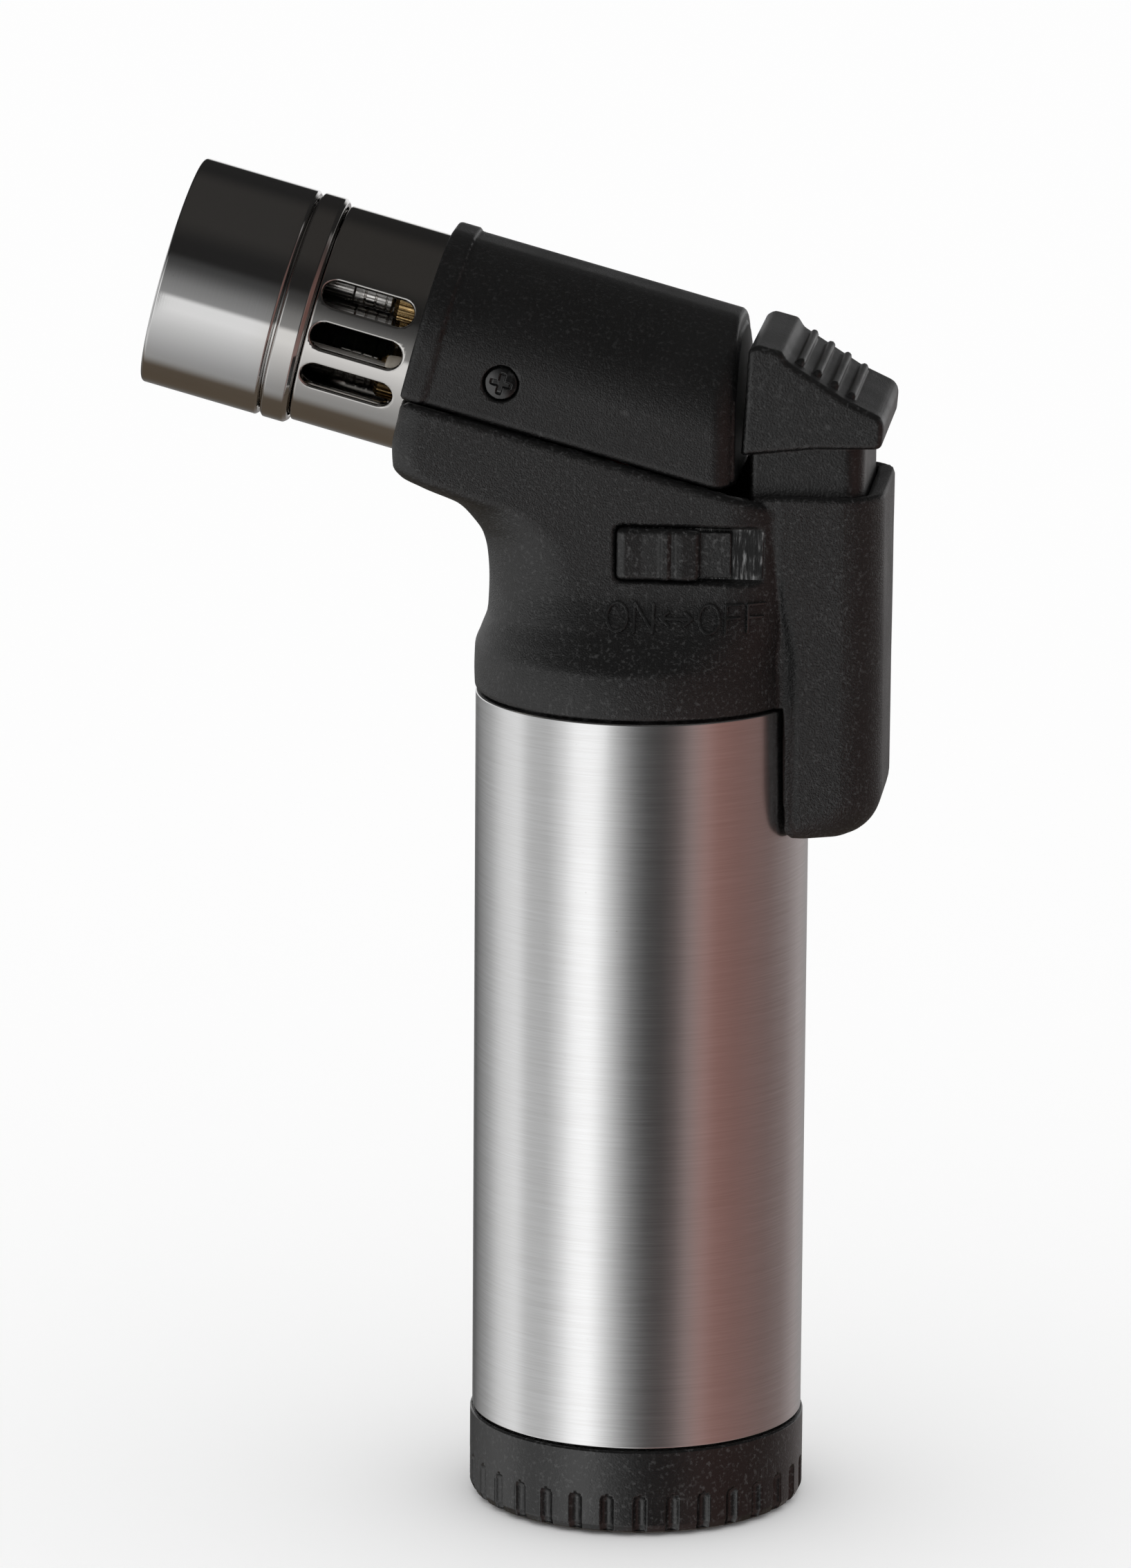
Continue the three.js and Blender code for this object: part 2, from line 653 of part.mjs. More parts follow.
function igniterHousing() {
  const levels = 4;
  const sections = Array.from({ length: levels + 1 }, (_, k) => (
    housingSection(housingBottom + (housingTop - housingBottom) * k / levels)));
  const wide = housingUpperHalf + 2;
  const foot = housingLowerHalf - 1;
  const flank = housingBottom + housingFlank;
  const profile = rounded([
    [housingFront - 2, housingBottom], [housingBack, housingBottom, housingFoot],
    [housingBack + gap, housingTop, 0.8], [housingFront - 2, housingTop]], 5);
  const across = rounded([
    [-wide, housingTop + 1], [-wide, flank], [-foot, housingBottom, 2.4], [foot, housingBottom, 2.4],
    [wide, flank], [wide, housingTop + 1]], 3);
  return carve(loft(sections), {
    within: [sideways(profile, -wide, wide), lengthways(across, housingFront - 4, housingBack + 2)] });
}

// Half space above the parting plane between the neck and the head cover
function abovePlane(m) {
  return alongNozzle(block([m, -30, -30], [m + 40, 30, 60]));
}

const earThickness = 1.6;
const lockWindowLow = 14.9;
const lockRest = -1.7;

function neckHousing() {
  const skin = carve(neckSkin(0, 0, 1, 20), { cut: [abovePlane(-partingDrop - gap / 2)] });
  const hollow = neckSkin(neckWall, 0.03, 1, 14);
  const aboveFloor = block([-40, -30, neckInside], [40, 30, neckInside + 60]);
  const cavity = carve(hollow, { within: [aboveFloor] });
  const spigot = tube(tankRadius, tankRadius - 1.6, spigotBottom, neckBottom + 1, 36);
  const tankSpace = rod(sleeveRadius + slideGap, housingBottom - 5, neckBottom, 48);
  const housing = carve(igniterHousing(), { cut: [tankSpace] });
  const stemPocket = block(
    [stemFront - gap, -stemHalf - gap, stemBottom - buttonTravel - 2.6],
    [stemBack + slideGap, stemHalf + gap, housingTop + 12]);
  const piezoPocket = block(
    [sleeveRadius + gap + 1.2, -housingLowerHalf + housingWall, housingBottom + 2],
    [stemBack + slideGap, housingLowerHalf - housingWall, neckInside + 12]);
  const passage = block(
    [stemFront - gap, -housingLowerHalf + housingWall, neckInside],
    [stemBack + slideGap, housingLowerHalf - housingWall, neckInside + 12]);
  const valveHole = rod(valveRadius + gap, neckBottom - 10, neckInside + 10);
  const flangeRoom = rod(valveFlange + 0.7, spigotBottom - 10, neckBottom - 0.1);
  const sleeveHole = alongNozzle(rod(ventRadius + gap, mountFront, headFront + 20, 36));
  const window = block(
    [lockRest - 0.2, -neckSide - 3, neckBottom + lockWindowLow],
    [lockRest + lockKnobLength + lockFlangeLength + lockTravel + 0.1, -neckSide + 1.5,
      neckBottom + lockWindowLow + lockHeight + 2 * gap]);
  const slot = block(
    [lockRest + 3.6 - slideGap, -neckSide - 3, neckBottom + lockWindowLow + 1.9],
    [lockRest + 6.6 + lockTravel + slideGap, -neckSide + 4, neckBottom + lockWindowLow + 4.5]);
  const ears = [-1, 1].map((side) => {
    const [near, far] = [leverHubHalf + gap, leverHubHalf + gap + earThickness];
    return block(
      [leverPivotX - 1.7, Math.min(side * near, side * far), neckInside - 0.5],
      [leverPivotX + 1.7, Math.max(side * near, side * far), leverPivotZ + 1.8]);
  });
  const earEnd = leverHubHalf + gap + earThickness;
  const earBore = rod(leverPinRadius + gap, -earEnd - 0.1, earEnd + 0.1, 16).rotateX(Math.PI / 2)
    .translate(leverPivotX, 0, leverPivotZ);
  const shell = carve(skin, {
    add: [housing, spigot],
    cut: [cavity, stemPocket, piezoPocket, passage,
      valveHole, flangeRoom, sleeveHole, window, slot],
  });
  return carve(shell, { add: ears, cut: [earBore] });
}

// Head cover: a rounded half shell along the nozzle axis, with a strip round its front
function coverOutline(side, top, corner) {
  return rounded([[-partingDrop + gap / 2, side], [-partingDrop + gap / 2, -side], [top, -side, corner],
    [top, side, corner]], 6);
}

function headCover() {
  const back = -18;
  const outer = alongNozzle(upright(coverOutline(coverSide, headTop, coverCorner), back, headFront));
  const strip = alongNozzle(upright(coverOutline(coverSide + coverStripProud,
    headTop + coverStripProud, coverCorner + coverStripProud), headFront - coverStrip, headFront));
  const inner = alongNozzle(upright(rounded([
    [-partingDrop - 5, coverSide - coverWall], [-partingDrop - 5, coverWall - coverSide],
    [headTop - coverWall, coverWall - coverSide, coverCorner - coverWall],
    [headTop - coverWall, coverSide - coverWall, coverCorner - coverWall]], 4), back - 1, headFront - 1.8));
  const room = upright(rounded([
    [-45, -20], [coverRear - coverWall, -20], [coverRear - coverWall, 20], [-45, 20]]), sleeveTop, nozzleHeight + 40);
  const edged = upright(rounded([
    [-45, -coverSide - 1], [coverRear, -coverSide - 1, 2.4], [coverRear, coverSide + 1, 2.4],
    [-45, coverSide + 1]], 4), sleeveTop, nozzleHeight + 50);
  const hollow = carve(inner, { within: [room] });
  const sleeveHole = alongNozzle(rod(ventRadius + gap, mountFront, headFront + 5, 36));
  const screwHoles = [-1, 1].flatMap((side) => [
    [screwHeadRadius + gap, coverSide - 0.95], [1.4, coverSide - 3]].map(([radius, from]) => (
    alongNozzle(rod(radius, from, coverSide + 2, 18).rotateX(side * Math.PI / -2)
      .translate(coverScrewM, 0, coverScrewS)))));
  return carve(outer, {
    add: [strip],
    within: [edged],
    cut: [hollow, sleeveHole, ...screwHoles],
  });
}

function coverScrew(side) {
  const head = coverSide - 0.35;
  const low = head - 0.6 + gap;
  return revolve([
    [0, mountRadius - 4.2], [1.1, mountRadius - 4.2], [1.1, low], [screwHeadRadius, low],
    [screwHeadRadius - 0.15, head - 0.1], [screwHeadRadius * 0.6, head + 0.2], [0, head + 0.3]], 18)
    .rotateX(side * Math.PI / -2).translate(coverScrewM, 0, coverScrewS);
}

// Chromed nozzle, drawn along its own axis
function ventSleeve() {
  const body = revolve([
    [ventBore, ventRear], [ventRadius, ventRear], [ventRadius, ringStart - gap],
    [noseRadius, ringStart - gap], [noseRadius, noseEnd], [ventBore, noseEnd]], 36);
  const slot = rounded([
    [-slotWidth / 2, slotStart, slotWidth / 2 - 0.01], [slotWidth / 2, slotStart, slotWidth / 2 - 0.01],
    [slotWidth / 2, slotStart + slotLength, slotWidth / 2 - 0.01],
    [-slotWidth / 2, slotStart + slotLength, slotWidth / 2 - 0.01]], 2);
  const cutters = [];
  for (let k = 0; k < slotCount; k += 1) {
    const angle = THREE.MathUtils.degToRad(slotSpread * (k - (slotCount - 1) / 2));
    const [sine, cosine] = [Math.sin(angle), Math.cos(angle)];
    cutters.push(upright(slot, ventBore - 2, ventRadius + 2).applyMatrix4(new THREE.Matrix4().makeBasis(
      new THREE.Vector3(cosine, sine, 0), new THREE.Vector3(0, 0, 1),
      new THREE.Vector3(sine, -cosine, 0))));
  }
  return carve(body, { cut: cutters });
}

function shroudRing() {
  const bore = noseRadius + gap;
  const edge = 0.5;
  return revolve([
    [bore, ringStart], [ventRadius + 0.1, ringStart], [shroudRadius - 0.12, ringStart + edge * 0.5],
    [shroudRadius, ringStart + 1.4 * edge], [shroudRadius, ringEnd - edge],
    [shroudRadius - 0.2, ringEnd - 0.12], [shroudRadius - edge, ringEnd], [bore, ringEnd]], 36);
}

function flameShroud() {
  const bore = noseRadius + gap;
  const edge = 0.35;
  return revolve([
    [bore, shroudStart], [shroudRadius - 0.5, shroudStart], [shroudRadius - 0.12, shroudStart + 0.18],
    [shroudRadius, shroudStart + 0.5], [shroudRadius, shroudEnd - edge],
    [shroudRadius - edge * 0.4, shroudEnd - edge * 0.1], [shroudRadius - edge, shroudEnd],
    [bore + 0.1, shroudEnd], [bore, shroudEnd - 0.4]], 36);
}

// Burner: three jets that screw into a carrier held by the cover screws
const jetPlaces = Array.from({ length: jetCount }, (_, k) => {
  const angle = 2 * Math.PI * k / jetCount;
  return [jetCircle * Math.sin(angle), jetCircle * Math.cos(angle)];
});
const electrodeM = -2.2;
const electrodeY = -7.9;
const gasInletS = mountRear + 3.6;

function burnerMount() {
  const body = revolve([
    [0, mountRear + 3], [5, mountRear + 3], [5, mountRear], [mountRadius - 0.4, mountRear],
    [mountRadius, mountRear + 0.4], [mountRadius, mountFront], [ventBore - gap, mountFront],
    [ventBore - gap, spigotEnd], [0, spigotEnd]], 24);
  const screwBores = [-1, 1].map((side) => rod(1.4, mountRadius - 4.8, mountRadius + 2, 12)
    .rotateX(side * Math.PI / -2).translate(coverScrewM, 0, coverScrewS));
  const wireHole = rod(insulatorRadius + gap, mountRear - 1, spigotEnd + 1, 16)
    .translate(electrodeM, electrodeY, 0);
  return carve(body, { cut: [...screwBores, wireHole] });
}

function jetNut([m, y]) {
  const flutes = 10;
  const low = spigotEnd + gap;
  const outline = Array.from({ length: 2 * flutes }, (_, k) => {
    const radius = k % 2 ? jetNutRadius : jetNutRadius - 0.22;
    const angle = k * Math.PI / flutes;
    return new THREE.Vector2(radius * Math.cos(angle), radius * Math.sin(angle));
  });
  return upright(outline, low, low + jetNutLength).translate(m, y, 0);
}

function jetTube([m, y]) {
  const low = spigotEnd + jetNutLength + 2 * gap;
  const high = low + jetTubeLength;
  const rib = 0.3;
  const outline = [[0, low], [jetTubeRadius, low]];
  for (let k = 0; k < 3; k += 1) {
    const start = low + 1.2 + 1.9 * k;
    outline.push([jetTubeRadius, start], [jetTubeRadius + rib, start], [jetTubeRadius + rib, start + 1.1],
      [jetTubeRadius, start + 1.1]);
  }
  outline.push([jetTubeRadius, high], [jetTubeRadius - 0.35, high], [jetTubeRadius - 0.35, high - 3.5],
    [0, high - 3.5]);
  return revolve(outline, 10).translate(m, y, 0);
}

function flamePlate() {
  const low = noseEnd + gap;
  const disc = rod(noseRadius - 0.05, low, low + flamePlateThickness, 28);
  const holes = jetPlaces.map(([m, y]) => rod(jetTubeRadius + gap, low - 1, low + 3, 14).translate(m, y, 0));
  const wireHole = rod(electrodeRadius + 0.5, low - 1, low + 3, 12).translate(electrodeM, electrodeY, 0);
  return carve(disc, { cut: [...holes, wireHole] });
}

function electrodeInsulator() {
  const low = mountRear + gap;
  const high = spigotEnd + 4.4;
  return revolve([
    [0, low], [insulatorRadius, low], [insulatorRadius, high - 0.8], [insulatorRadius - 0.5, high],
    [0, high]], 16).translate(electrodeM, electrodeY, 0);
}

function electrodeWire() {
  const start = spigotEnd + 4.4 + gap;
  const plate = noseEnd + gap + flamePlateThickness;
  return bar([
    [electrodeM, electrodeY, start], [electrodeM, electrodeY, start + 6], [electrodeM, electrodeY, plate],
    [electrodeM, electrodeY + 0.8, plate + 1.6], [electrodeM + 0.6, electrodeY + 2.6, plate + 2.6]],
  electrodeRadius, 10, 6);
}

// Tube that carries the gas from the valve to the burner mount
function gasTube() {
  const end = mountRadius + gap;
  const [start, height] = [barbEnd - gap, barbHeight];
  const reach = neckWall + 3 - throat;
  return bar([
    [start, 0, height], [reach + 3.6, 0, height + 0.6], [reach + 1, 0, height + 4.2],
    [reach, 0, height + 9.5], nozzlePoint(gasInletS - 3.8, -end - 4.4, 0),
    nozzlePoint(gasInletS - 0.2, -end - 1.8, 0), nozzlePoint(gasInletS, -end, 0)], 0.8, 16, 6);
}

// Lever that lifts the gas valve stem when the button goes down
const leverPivotX = 3.4;
const leverHubHalf = 5.6;
const leverPinRadius = 0.8;
const leverForkTop = gasValve.stemHigh - 1.2 - gap;
const leverPivotZ = leverForkTop - 0.9;
const leverPadX = stemFront + 2.2;
const leverPadZ = leverForkTop + 4.6;

function valveLever() {
  const arm = sideways(rounded([
    [0.3, leverForkTop], [0.3, leverForkTop - 1.5], [leverPivotX, leverPivotZ - 1.5, 0.6],
    [leverPivotX + 2.2, leverPivotZ - 0.9, 0.6], [leverPadX + 0.8, leverPadZ - 1.9, 0.7],
    [leverPadX + 0.8, leverPadZ, 0.8], [leverPadX - 0.9, leverPadZ, 0.8],
    [leverPivotX + 1.7, leverForkTop + 0.3, 0.6]], 3), -2.4, 2.4);
  const hub = rod(1.7, -leverHubHalf, leverHubHalf, 20).rotateX(Math.PI / 2)
    .translate(leverPivotX, 0, leverPivotZ);
  const slotHalf = valveStemRadius + 0.4;
  const slot = block([-1, -slotHalf, leverPivotZ - 4], [1.55, slotHalf, leverForkTop + 2]);
  const bore = rod(leverPinRadius + gap, -10, 10, 16).rotateX(Math.PI / 2)
    .translate(leverPivotX, 0, leverPivotZ);
  return carve(arm, { add: [hub], cut: [slot, bore] });
}

function leverPin() {
  const half = leverHubHalf + gap + earThickness;
  return rod(leverPinRadius, -half, half, 16).rotateX(Math.PI / 2).translate(leverPivotX, 0, leverPivotZ);
}

// Thumb button with its hollowed skirt, stem and the legs that work the parts under it
const buttonLip = housingTop + 4.5;
const lockLegBottom = stemBottom - 1;
const lockLegFront = stemFront + 0.3;
const plungerTop = stemBottom - 3.2;

function ignitionButton() {
  const lip = buttonLip;
  const back = housingBack - 0.4;
  const side = rounded([
    [back - 16.05, lip], [back - 7.9, lip + 0.95, 6], [back - 0.3, lip + 1.1, 0.8],
    [back, lip + 4.6, 1.6], [back - 4.3, lip + 6.6, 5], [back - 10.9, lip + 10.8, 1.2],
    [back - 11.6, lip + 11.9, 0.7], [back - 14.3, lip + 12.6, 0.9], [back - 15.3, lip + 12, 0.8]], 3);
  const cap = cushioned(side, buttonHalf, 0.5);
  const stem = upright(rounded([
    [stemFront, -stemHalf, 1.2], [stemBack, -stemHalf, 2.4], [stemBack, stemHalf, 2.4],
    [stemFront, stemHalf, 1.2]], 4), stemBottom, lip + 3);
  const plungerLeg = block([piezoX - 2.2, -4, plungerTop + gap], [piezoX + 2.2, 4, stemBottom + 1]);
  const leverLeg = block([leverPadX - 0.7, -2.2, leverPadZ + gap], [leverPadX + 0.7, 2.2, stemBottom + 1]);
  const lockLeg = block(
    [lockLegFront, -stemHalf, lockLegBottom], [lockLegFront + 3.1, 2 - stemHalf, stemBottom + 1]);
  const ribs = Array.from({ length: 4 }, (_, k) => {
    const [x, z] = [back - 9.6 + 1.9 * k, lip + 10.35 - 1.23 * k];
    return bar([[x, 2.2 - buttonHalf, z], [x, 0, z], [x, buttonHalf - 2.2, z]], 0.45, 1, 6);
  });
  return carve(cap, { add: [stem, plungerLeg, leverLeg, lockLeg, ...ribs] });
}

// Piezo igniter in the housing, with its sprung plunger under the button
const piezoX = (sleeveRadius + gap + 1.2 + stemBack + slideGap) / 2;
const piezoDepth = stemBack + slideGap - sleeveRadius - 1.5 - 2 * gap;
const piezoBottom = housingBottom + 2 + gap;
const piezoTop = piezoBottom + piezoHeight;
const plungerBottom = plungerTop - plungerLength;
const boreBottom = piezoTop - 14;

function piezoBody() {
  const half = piezoDepth / 2;
  const body = upright(rounded([
    [piezoX - half, -piezoHalf, 0.8], [piezoX + half, -piezoHalf, 0.8], [piezoX + half, piezoHalf, 0.8],
    [piezoX - half, piezoHalf, 0.8]], 2), piezoBottom, piezoTop);
  const bore = block([piezoX - 2, -3.9, boreBottom], [piezoX + 2, 3.9, piezoTop + 1]);
  return carve(body, { cut: [bore] });
}

function piezoPlunger() {
  const half = 2 - gap;
  return upright(rounded([
    [piezoX - half, -3.6, 0.4], [piezoX + half, -3.6, 0.4], [piezoX + half, 3.6, 0.4],
    [piezoX - half, 3.6, 0.4]], 2), plungerBottom, plungerTop);
}

function piezoSpring() {
  return coil(1.35, 0.25, boreBottom + gap, plungerBottom - gap, 3, [piezoX, 0]);
}

// Lead from the igniter through the neck to the electrode
function ignitionWire() {
  const side = piezoHalf + gap + 0.8;
  const end = mountRear;
  return bar([
    [piezoX, side, piezoTop - 9], [piezoX, side + 0.2, piezoTop - 5],
    [piezoX - 1.2, side + 0.6, neckInside + 2.4],
    [leverPivotX + 13, side + 0.8, neckInside + 4], [leverPivotX + 7, side + 0.8, neckInside + 6.6],
    [4, 6.6, neckInside + 12.6], [1, 3, neckInside + 18], [-2, -3.2, neckInside + 23.5],
    nozzlePoint(end - 5, electrodeM, electrodeY + 0.6), nozzlePoint(end - 2.4, electrodeM, electrodeY),
    nozzlePoint(end, electrodeM, electrodeY)], 0.75, 22, 6);
}

// Lock slide in its window: pushed back, its tongue comes up to the front of the button's leg
function lockSlide() {
  const low = neckBottom + lockWindowLow + gap;
  const high = low + lockHeight;
  const floor = -neckSide + 1.5 - gap;
  const face = -neckSide - 0.75;
  const [start, step] = [lockRest, lockRest + lockKnobLength];
  const knob = upright(rounded([
    [start, floor], [start, face + 0.4, 0.3], [start + 0.9, face, 0.4], [start + 2.6, face + 0.75, 1.6],
    [start + 5, face + 0.5, 0.6], [start + 5.2, face, 0.2], [start + 5.9, face, 0.2],
    [start + 6.3, face + 0.35, 0.2], [start + 6.8, face, 0.2], [start + 7.5, face, 0.3],
    [step, face + 0.9, 0.5], [step, floor]], 2), low, high);
  const flange = block([step - 1, floor - 0.55, low], [step + lockFlangeLength, floor, high]);
  const stem = block([start + 3.6, floor - 0.2, low + 1.9], [start + 6.6, 2.6 - neckSide, low + 4]);
  const inner = -neckSide + neckWall + gap;
  const keeperEnd = start + 2 + lockKeeperLength;
  const keeper = block(
    [start + 2, inner, low + 0.4], [keeperEnd, inner + lockKeeperThickness, high - 0.6]);
  const tongue = block(
    [keeperEnd - 1, inner + 1, lockLegBottom - 1.7],
    [lockLegFront - gap - lockTravel, inner + 3, lockLegBottom - 0.4]);
  return carve(knob, { add: [flange, stem, keeper, tongue] });
}

piece('base_dial', baseDial(), blackPlastic);
piece('base_plate', basePlate(), blackPlastic);
baseScrewPlaces.forEach((place, k) => piece(`base_screw_${k + 1}`, baseScrew(place), steel));
piece('regulator_gear', regulatorGear(), carrierPlastic);
piece('regulator_body', regulatorBody(), brass);
piece('fill_valve_body', valveBody(fillValve), brass);
piece('fill_valve_stem', revolve(valveStem(fillValve), 16), brass);
piece('fill_valve_spring', valveSpring(fillValve), steel);
piece('fill_valve_washer', washer(fillValve.flange), rubber);
piece('fuel_tank', fuelTank(), tankPlastic);
piece('tank_sleeve', tankSleeve(), brushedAluminium);
piece('feed_tube', feedTube(), tankPlastic);
piece('gas_valve_body', gasValveBody(), brass);
piece('gas_valve_stem', gasValveStem(), brass);
piece('gas_valve_spring', valveSpring(gasValve), steel);
piece('gas_valve_washer', washer(gasValve.flange), rubber);
piece('gas_valve_nut', gasValveNut(), brass);
piece('gas_tube', gasTube(), steel);
piece('valve_lever', valveLever(), steel);
piece('lever_pin', leverPin(), steel);
piece('neck_housing', neckHousing(), blackPlastic);
piece('head_cover', headCover(), blackPlastic);
piece('cover_screw_left', coverScrew(-1), glossPlastic, nozzle);
piece('cover_screw_right', coverScrew(1), glossPlastic, nozzle);
piece('lock_slide', lockSlide(), blackPlastic);
piece('ignition_button', ignitionButton(), blackPlastic);
piece('piezo_body', piezoBody(), carrierPlastic);
piece('piezo_plunger', piezoPlunger(), tankPlastic);
piece('piezo_spring', piezoSpring(), steel);
piece('ignition_wire', ignitionWire(), wireSheath);
piece('burner_mount', burnerMount(), carrierPlastic, nozzle);
piece('vent_sleeve', ventSleeve(), darkChrome, nozzle);
piece('shroud_ring', shroudRing(), darkChrome, nozzle);
piece('flame_shroud', flameShroud(), darkChrome, nozzle);
piece('flame_plate', flamePlate(), steel, nozzle);
jetPlaces.forEach((place, k) => {
  piece(`jet_nut_${k + 1}`, jetNut(place), brass, nozzle);
  piece(`jet_tube_${k + 1}`, jetTube(place), steel, nozzle);
});
piece('electrode_insulator', electrodeInsulator(), ceramic, nozzle);
piece('electrode_wire', electrodeWire(), steel, nozzle);

// Put the origin under the middle of the whole torch
const span = new THREE.Box3().setFromObject(torch, true);
torch.position.x = -(span.min.x + span.max.x) / 2;

export default torch;
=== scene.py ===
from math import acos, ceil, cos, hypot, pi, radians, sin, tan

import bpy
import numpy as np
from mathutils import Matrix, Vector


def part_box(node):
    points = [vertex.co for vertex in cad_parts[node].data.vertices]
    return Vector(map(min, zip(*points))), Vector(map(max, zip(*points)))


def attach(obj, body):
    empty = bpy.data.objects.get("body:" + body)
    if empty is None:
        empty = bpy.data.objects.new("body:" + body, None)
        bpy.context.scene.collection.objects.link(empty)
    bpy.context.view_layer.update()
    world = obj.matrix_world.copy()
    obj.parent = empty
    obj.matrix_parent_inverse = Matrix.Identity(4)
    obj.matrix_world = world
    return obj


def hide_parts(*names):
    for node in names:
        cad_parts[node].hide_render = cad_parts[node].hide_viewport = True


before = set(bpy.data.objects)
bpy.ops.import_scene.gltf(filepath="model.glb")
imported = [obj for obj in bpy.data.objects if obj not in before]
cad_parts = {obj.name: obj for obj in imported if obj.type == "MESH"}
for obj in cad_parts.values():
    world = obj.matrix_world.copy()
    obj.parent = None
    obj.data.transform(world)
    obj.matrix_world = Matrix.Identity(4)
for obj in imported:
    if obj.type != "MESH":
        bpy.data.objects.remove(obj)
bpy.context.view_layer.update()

# Looks of a pocket butane torch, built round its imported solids.
#
# Shapes are worked out in millimetres from the axis of the tank, with z up from the table, and
# are put into metres at the end. The nozzle has its own frame: m is square to its axis and up,
# y is shared with the torch, and s runs along the axis to the tip. A moulded or cut piece is a
# field, below zero inside the material, and its zero surface becomes the mesh. A turned piece
# is a rounded profile carried round an axis.

sleeve_low, sleeve_high = (np.array(corner) * 1000 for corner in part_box("tank_sleeve"))
tank_axis_x = (sleeve_low[0] + sleeve_high[0]) / 2

# Sizes of the solids, and of what shows on them
sleeve_radius = 19.0
sleeve_bore = 18.2
sleeve_bottom = 10.4
sleeve_top = 94.9
dial_radius = 19.25
dial_top = 10.2
gear_bottom = 2.7
gear_top = 6.9
base_radius = 16.0
base_screw_places = [(9.6 * cos(turn), 9.6 * sin(turn))
                     for turn in ((2 * k + 1) * pi / 3 for k in range(3))]
neck_bottom = 95.2
neck_inside = 97.2
neck_wall = 2.2
spigot_bottom = 91.3
housing_bottom = 79.9
housing_top = 119.8
housing_back = 27.75
nozzle_height = 127.4
nozzle_tilt = radians(15)
head_front = 26.1
head_top = 13.6
cover_side = 13.6
cover_wall = 1.7
cover_corner = 11.9
cover_rear = 11.3
parting = -4.3
nozzle_bore_radius = 12.83
nozzle_bore_start = 19.7
vent_radius = 12.53
vent_bore = 11.3
vent_rear = 20.0
ring_start = 38.5
ring_end = 41.6
nose_radius = 11.95
nose_end = 44.2
shroud_start = 41.9
shroud_end = 55.6
shroud_radius = 13.13
slot_start = 27.1
slot_length = 10.6
slot_width = 3.1
slot_spread = radians(23)
jet_places = [(5.2 * sin(turn), 5.2 * cos(turn))
              for turn in (radians(120 * k) for k in range(3))]
electrode_m, electrode_y = -2.2, -7.9
screw_s = 15.6
screw_m = 0.7
screw_radius = 1.85
stem_front = 12.8
stem_back = 25.6
stem_half = 10.35
stem_bottom = 114.2
button_lip = housing_top + 4.5
button_half = 11.7
button_back = 27.9
window_low = neck_bottom + 14.9
window_high = neck_bottom + 21.3
window_front, window_back = -1.9, 14.9
lock_floor_y = -12.65
lock_rest = -1.7

# Frames: the three axes of a frame as rows, and its origin
tank_frame = (np.eye(3), np.zeros(3))
along_s = np.array([-cos(nozzle_tilt), 0, sin(nozzle_tilt)])
along_m = np.array([sin(nozzle_tilt), 0, cos(nozzle_tilt)])
along_y = np.array([0.0, 1.0, 0.0])
nozzle_origin = np.array([0, 0, nozzle_height])
nozzle_frame = (np.array([along_m, along_y, along_s]), nozzle_origin)


def nozzle_place(m, y, s):
    return nozzle_origin + along_m * m + along_y * y + along_s * s


# Shapes as fields: below zero inside the material, in millimetres

def meet(a, b, radius=0.0):
    """Inside both a and b. Their common edge is an arc: the length of (a + r, b + r) less r."""
    rounded = np.hypot(np.maximum(a + radius, 0), np.maximum(b + radius, 0))
    return np.minimum(np.maximum(a, b), -radius) + rounded


def join(a, b, radius=0.0):
    """Inside a or b, with the inner corner filled by an arc of the radius."""
    return -meet(-a, -b, radius)


def cut(a, b, radius=0.0):
    """Inside a and outside b, with the rim rounded by the radius."""
    return meet(a, -b, radius)


def within(u, low, high):
    """A slab between two parallel planes."""
    return np.maximum(low - u, u - high)


def brick(x, y, z, low, high, radius=0.0):
    """A box from its low corner to its high corner, its edges rounded by the radius."""
    across = [np.abs(p - (a + b) / 2) - (b - a) / 2 for p, a, b in zip((x, y, z), low, high)]
    return meet(meet(across[0], across[1], radius), across[2], radius)


def plate_field(u, v, half_u, half_v, radius):
    """A rectangle about the origin with corners of one radius, or an array of radii."""
    out_u = np.abs(u) - half_u + radius
    out_v = np.abs(v) - half_v + radius
    inner = np.minimum(np.maximum(out_u, out_v), 0)
    return np.hypot(np.maximum(out_u, 0), np.maximum(out_v, 0)) + inner - radius


def off_line(u, v, a, b):
    """Distance from the straight line between two points."""
    eu, ev = b[0] - a[0], b[1] - a[1]
    share = np.clip(((u - a[0]) * eu + (v - a[1]) * ev) / (eu * eu + ev * ev), 0, 1)
    return np.hypot(u - a[0] - eu * share, v - a[1] - ev * share)


def outline_field(u, v, corners):
    """Distance to a closed outline of corners, below zero inside it by counting crossings."""
    least = np.full(np.broadcast(u, v).shape, np.inf)
    inside = np.zeros(least.shape, bool)
    for a, b in zip(corners, np.roll(corners, -1, axis=0)):
        least = np.minimum(least, off_line(u, v, a, b))
        if a[1] != b[1]:
            left = u - a[0] < (v - a[1]) * (b[0] - a[0]) / (b[1] - a[1])
            inside ^= ((a[1] > v) != (b[1] > v)) & left
    return np.where(inside, -1, 1) * least


